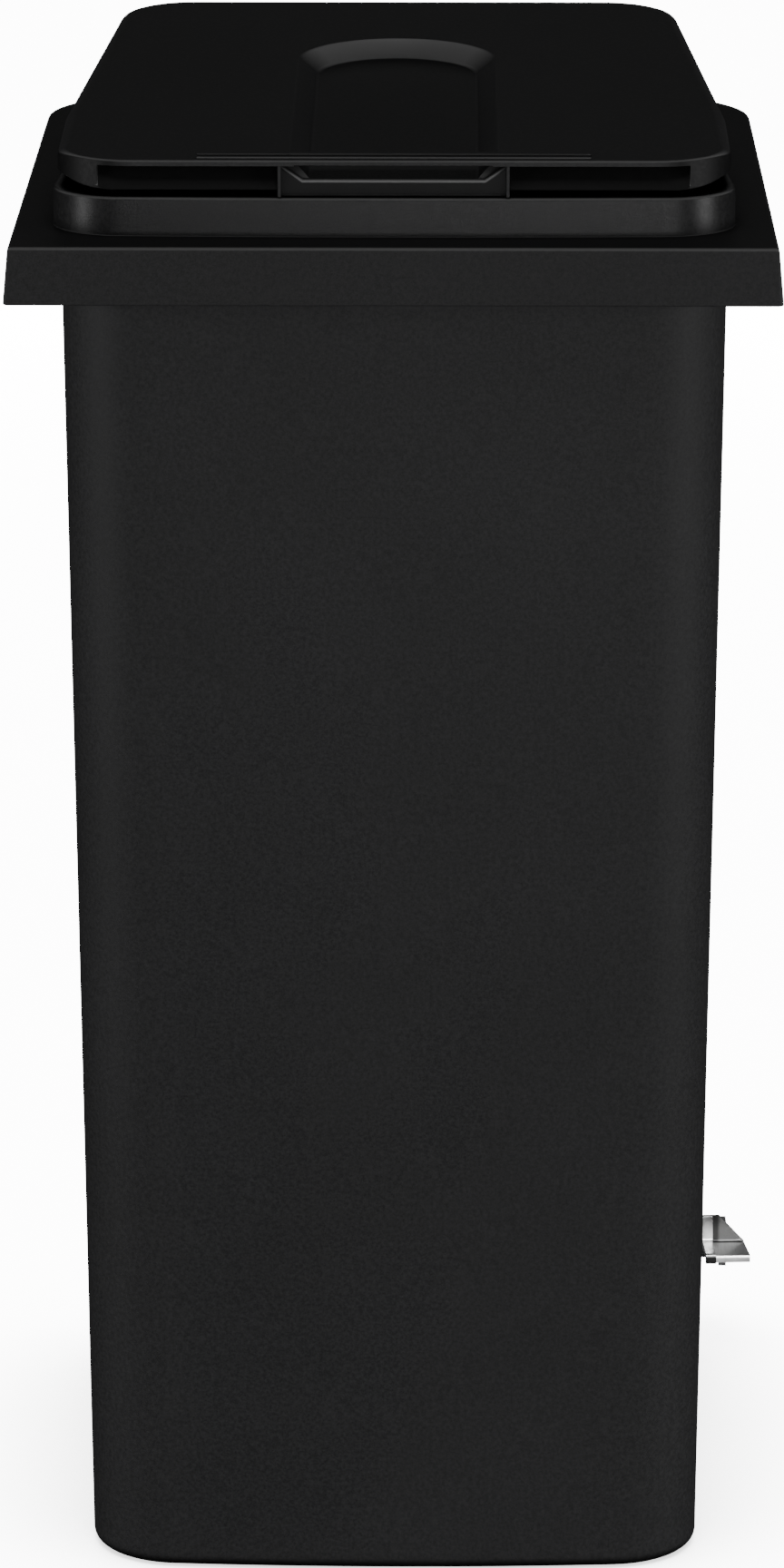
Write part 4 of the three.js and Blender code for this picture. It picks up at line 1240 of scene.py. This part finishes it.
def lid_plastic():
    """Black plastic with a painted highlight on its slopes, and painted shade at the front corners, round
    the grip and in nooks.
    """
    p = Plastic("lid_black", 0.028, 0.55)
    sheen_colour = p.mix(brighter_painted_sheen(p), p.tone(4), p.tone(9))
    colour = p.painted_sheen(p.grained(p.blotched()), sheen_colour)
    # painted shade on the front corners, the grip's front and the recess walls
    colour = p.mix(painted_shade_corners(p), colour, p.scaled(colour, 0.2))
    colour = p.mix(painted_shade_grip_front(p), colour, p.scaled(colour, 0.25))
    colour = p.mix(painted_shade_recess(p), colour, p.tone(0.14))
    return p.finished(colour, p.painted_nook_shade(), p.rough, 0.2)


def rubber(name, level):
    """Black rubber with a dusty bloom and tiny pits."""
    n = Nodes(name)
    dust = n.noise(25, 5, 0.65)
    dusty = (level * 2.6, level * 2.5, level * 2.3, 1)
    return n.use({
        "Base Color": n.mix(n.ranged(dust, 0.45, 0.75, 0, 0.5), grey(level), dusty),
        "Roughness": n.ranged(dust, 0.3, 0.7, 0.72, 0.9),
        "Normal": n.bump(n.noise(900, 2), 0.3, 0.15),
    })


def nylon(name, level):
    """Turned grey nylon: fine rings from the tool and a soft shine."""
    n = Nodes(name)
    rings = n.noise(700, 1, 0.5, n.stretched((4, 0.2, 0.2)))
    stains = n.ranged(n.noise(40, 3), 0.4, 0.7, 0, 0.6)
    return n.use({
        "Base Color": n.mix(stains, grey(level), grey(level * 0.75, 0.02)),
        "Roughness": n.ranged(rings, 0.3, 0.7, 0.38, 0.52),
        "Normal": n.bump(rings, 0.2, 0.1),
    })


def plated_surface(n, colour, roughness, streaks):
    """Finish of zinc plate: metal, with its rolled streaks as a low bump."""
    return n.use({
        "Base Color": colour,
        "Metallic": 1.0,
        "Roughness": roughness,
        "Normal": n.bump(streaks, 0.12, 0.1),
    })


def zinc_steel(name, level, roughness, stretch=(0.3, 6, 6)):
    """Bright zinc plate: rolled streaks, faint spangle, small dull spots."""
    n = Nodes(name)
    streaks = n.noise(260, 3, 0.6, n.stretched(stretch))
    spangle = n.add("ShaderNodeTexVoronoi", {"Vector": n.point, "Scale": 170}).outputs["Color"]
    shade = n.add("ShaderNodeRGBToBW", {"Color": spangle}).outputs["Val"]
    dull = n.noise(60, 5, 0.65)
    plated = n.mix(n.ranged(shade, 0.2, 0.9), grey(level * 0.93, 0.03), grey(level * 1.06, 0.03))
    streaked = n.mix(n.ranged(streaks, 0.4, 0.75, 0, 0.4), plated, grey(level * 0.72, 0.04))
    spotted = n.mix(n.ranged(dull, 0.58, 0.72, 0, 0.55), streaked, grey(level * 0.62, -0.02))
    worn = n.ranged(dull, 0.35, 0.75, roughness - 0.06, roughness + 0.16)
    return plated_surface(n, spotted, worn, streaks)


def folded_zinc(name, lip, flat, upright, roughness, top, beside=1):
    """Zinc plate of a folded piece, painted with light and shade: its lip, flat and upright parts each get
    their own brightness.
    Top is the height of the flat part, beside sets how dark the painted shadow on the upright next to the
    doubler is."""
    n = Nodes(name)
    streaks = n.noise(260, 3, 0.6, n.stretched((6, 0.3, 6)))
    dull = n.noise(90, 5, 0.65)
    x, y, z = n.parts(n.point)
    lower = n.mix(n.over(z, top - 1.4, 0.9), grey(lip), grey(flat))
    # painted shade: the upright is darker at its foot, by the fold
    upper = n.mix(n.over(z, top + 1.5, 7.5), grey(upright * 0.7), grey(upright, -0.01))
    shadow = TREAD["left"] + DOUBLER["width"] + 3.5
    upper = n.scaled(upper, n.ranged(x, shadow * MM, (shadow + 2) * MM, beside, 1))
    plain = n.mix(n.over(y, TREAD["rear"] - FOLD_RADIUS * 0.8, 0.5), lower, upper)
    streaked = n.mix(n.ranged(streaks, 0.42, 0.72, 0, 0.45), plain, n.scaled(plain, 0.66))
    spotted = n.mix(n.ranged(dull, 0.55, 0.75, 0, 0.5), streaked, n.scaled(plain, 0.75))
    worn = n.ranged(dull, 0.35, 0.75, roughness - 0.05, roughness + 0.12)
    return plated_surface(n, spotted, worn, streaks)


# ---- pieces

BLACK = container_plastic()
LID_BLACK = lid_plastic()
HUB_BLACK = hub_plastic()
TYRE_RUBBER = rubber("tyre_rubber", 0.012)
BUFFER_RUBBER = rubber("buffer_rubber", 0.014)
NYLON = nylon("grey_nylon", 0.32)
ZINC = zinc_steel("zinc_steel", 0.62, 0.34)
# Painted light and shade on the pedal sheets: a near-white level is a painted highlight, a dark one
# painted shade.
TREAD_ZINC = folded_zinc("tread_zinc", 0.98, 0.62, 0.12, 0.4, TREAD["top"], beside=0.3)
DOUBLER_ZINC = folded_zinc("doubler_zinc", 0.11, 0.6, 0.98, 0.3, DOUBLER_TOP)
ROD_ZINC = zinc_steel("rod_zinc", 0.6, 0.3, (6, 6, 0.2))
AXLE_STEEL = zinc_steel("axle_steel", 0.4, 0.36)
SCREW_STEEL = zinc_steel("screw_steel", 0.5, 0.32, (1, 1, 1))

piece("container_moulding", container(), BLACK, "container", MOULDING_NODES)
piece("lid_moulding", lid(), LID_BLACK, "lid", ["lid"])

for name, side in (("left", -1), ("right", 1)):
    wheel, cap = f"wheel_{name}", f"axle_cap_{name}"
    piece(f"hub_{name}_moulded", hub(side), HUB_BLACK, wheel, [f"wheel_hub_{name}"])
    piece(f"tyre_{name}_grooved", tyre(side), TYRE_RUBBER, wheel, [f"tyre_{name}"])
    piece(f"{cap}_domed", axle_cap(side), HUB_BLACK, "container", [cap])

for name, mesh, material, body, node, edge in (
    ("tread_folded", pedal_tread(), TREAD_ZINC, "pedal", "pedal_tread", 0.35),
    ("doubler_folded", pedal_doubler(), DOUBLER_ZINC, "pedal", "pedal_doubler", 0.25),
    ("cross_tube_rounded", cross_tube(), ZINC, "pedal", "pedal_cross_tube", 0),
    ("arm_inner_plate", pedal_arm(ARM_X[0], False), ZINC, "pedal", "pedal_arm_inner", 0),
    ("arm_outer_plate", pedal_arm(ARM_X[1], True), ZINC, "pedal", "pedal_arm_outer", 0),
    ("rod_bent", pull_rod(), ROD_ZINC, "rod", "pull_rod", 0),
):
    piece(name, mesh, material, body, [node], edge)

for label, pin in (("upper", CRANK_PIN), ("lower", ARM_PIN)):
    piece(f"rod_cap_{label}_domed", rod_cap(pin), HUB_BLACK, "rod", [f"rod_cap_{label}"])
piece("crank_plate", lid_crank(), ZINC, "lid", ["lid_crank"])
piece("guide_moulded", rod_guide(), HUB_BLACK, "container", ["rod_guide"])
for index in (1, 2):
    crank, guide = f"crank_screw_{index}", f"guide_screw_{index}"
    piece(f"{crank}_pan", screw_head(crank, 2, 0.5), SCREW_STEEL, "lid", [crank])
    piece(f"{guide}_pan", screw_head(guide, 1, 0.45), SCREW_STEEL, "container", [guide])

KEPT_NODES = (
    (AXLE_STEEL, ["axle"]),
    (LID_BLACK, ["hinge_pin_left", "hinge_pin_right"]),
    (BUFFER_RUBBER, ["lid_buffer_left", "lid_buffer_right"]),
    (NYLON, ["axle_spacer_left", "axle_spacer_inner", "axle_spacer_outer"]),
    (NYLON, ["pedal_bush_inner", "pedal_bush_outer"]),
    (ZINC, ["pedal_end_plate"]),
)
for material, names in KEPT_NODES:
    for name in names:
        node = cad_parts[name]
        node.data.materials.clear()
        node.data.materials.append(material)
        rounded_edges(node, 0.4, 2, radians(40))

# ---- studio

FLOOR_GLOW = 13
CAMERA_PLACE = (0.03455, -4.4691, 1.7272)
CAMERA_DOWN = 15.655
CAMERA_TURN = 0.481
CAMERA_LENS = 159.9
PEDAL_METAL = ["tread_folded", "doubler_folded", "cross_tube_rounded", "pedal_end_plate"]


def pale_floor():
    """White floor that glows for the camera only, with a painted contact shadow: it glows less close to
    whatever stands on it.
    """
    n = Nodes("pale_floor")
    n.use({
        "Base Color": n.mix(n.noise(1.5, 3), grey(0.9), grey(0.93)),
        "Roughness": 0.6,
        "Specular IOR Level": 0.2,
        "Emission Color": grey(1),
        # painted contact shadow: less glow where something stands close by
        "Emission Strength": n.ranged(n.openness(220), 0.35, 0.95, 1.6, FLOOR_GLOW),
    })
    bpy.ops.mesh.primitive_plane_add(size=40, location=(0, 0, 0))
    floor = bpy.context.active_object
    floor.name = "studio_floor"
    floor.data.materials.append(n.material)
    floor.visible_diffuse = False
    floor.visible_glossy = False


def soft_light(name, place, target, size, power):
    """Rectangular lamp turned to its target and hidden from the camera; sizes in metres."""
    data = bpy.data.lights.new(name, "AREA")
    data.shape = "RECTANGLE"
    data.size, data.size_y = size
    data.energy = power
    lamp = link(name, data)
    lamp.location = place
    lamp.rotation_mode = "QUATERNION"
    lamp.rotation_quaternion = (Vector(target) - Vector(place)).to_track_quat("-Z", "Y")
    lamp.visible_camera = False
    return lamp


def studio():
    """World, soft boxes all round, and one lamp that lights nothing but the pedal's metal."""
    bright_metal = bpy.data.collections.new("bright_metal")
    for name in PEDAL_METAL:
        bright_metal.objects.link(bpy.data.objects[name])
    world = bpy.data.worlds.new("studio_world")
    world.use_nodes = True
    background = world.node_tree.nodes["Background"]
    background.inputs["Color"].default_value = grey(1)
    background.inputs["Strength"].default_value = FLOOR_GLOW
    world.cycles_visibility.diffuse = False
    world.cycles_visibility.glossy = False
    SCENE.world = world
    middle = (0, 0, 0.5)
    soft_light("left_box", (-3.4, -1.5, 0.8), middle, (1.4, 1.6), 58)
    soft_light("right_box", (3.4, -1.5, 0.8), middle, (1.4, 1.6), 64)
    soft_light("front_box", (0.7, -4.4, 0.68), middle, (2.6, 0.44), 48)
    soft_light("top_box", (0, -1.4, 3.3), (0, 0, 0.9), (1.6, 1.0), 9)
    soft_light("back_box", (0, 3.4, 2.3), middle, (3.0, 1.0), 2.0)
    for x in (-0.9, 0.9):
        lamp = soft_light("low_back_box", (x, 3.9, 0.5), middle, (1.6, 0.9), 46)
        lamp.visible_glossy = False
    metal_light = soft_light("metal_box", (1.2, -1.6, 2.0), (0.23, 0.24, 0.07), (1.4, 1.4), 200)
    metal_light.light_linking.receiver_collection = bright_metal


def camera():
    """The photo's camera: straight from the front, looking down by about 16 degrees."""
    data = bpy.data.cameras.new("photo_view")
    data.lens = CAMERA_LENS
    data.sensor_width = 36
    data.clip_end = 100
    made = link("photo_view", data)
    made.location = CAMERA_PLACE
    made.rotation_euler = (radians(90 - CAMERA_DOWN), 0, radians(CAMERA_TURN))
    SCENE.camera = made


pale_floor()
studio()
camera()
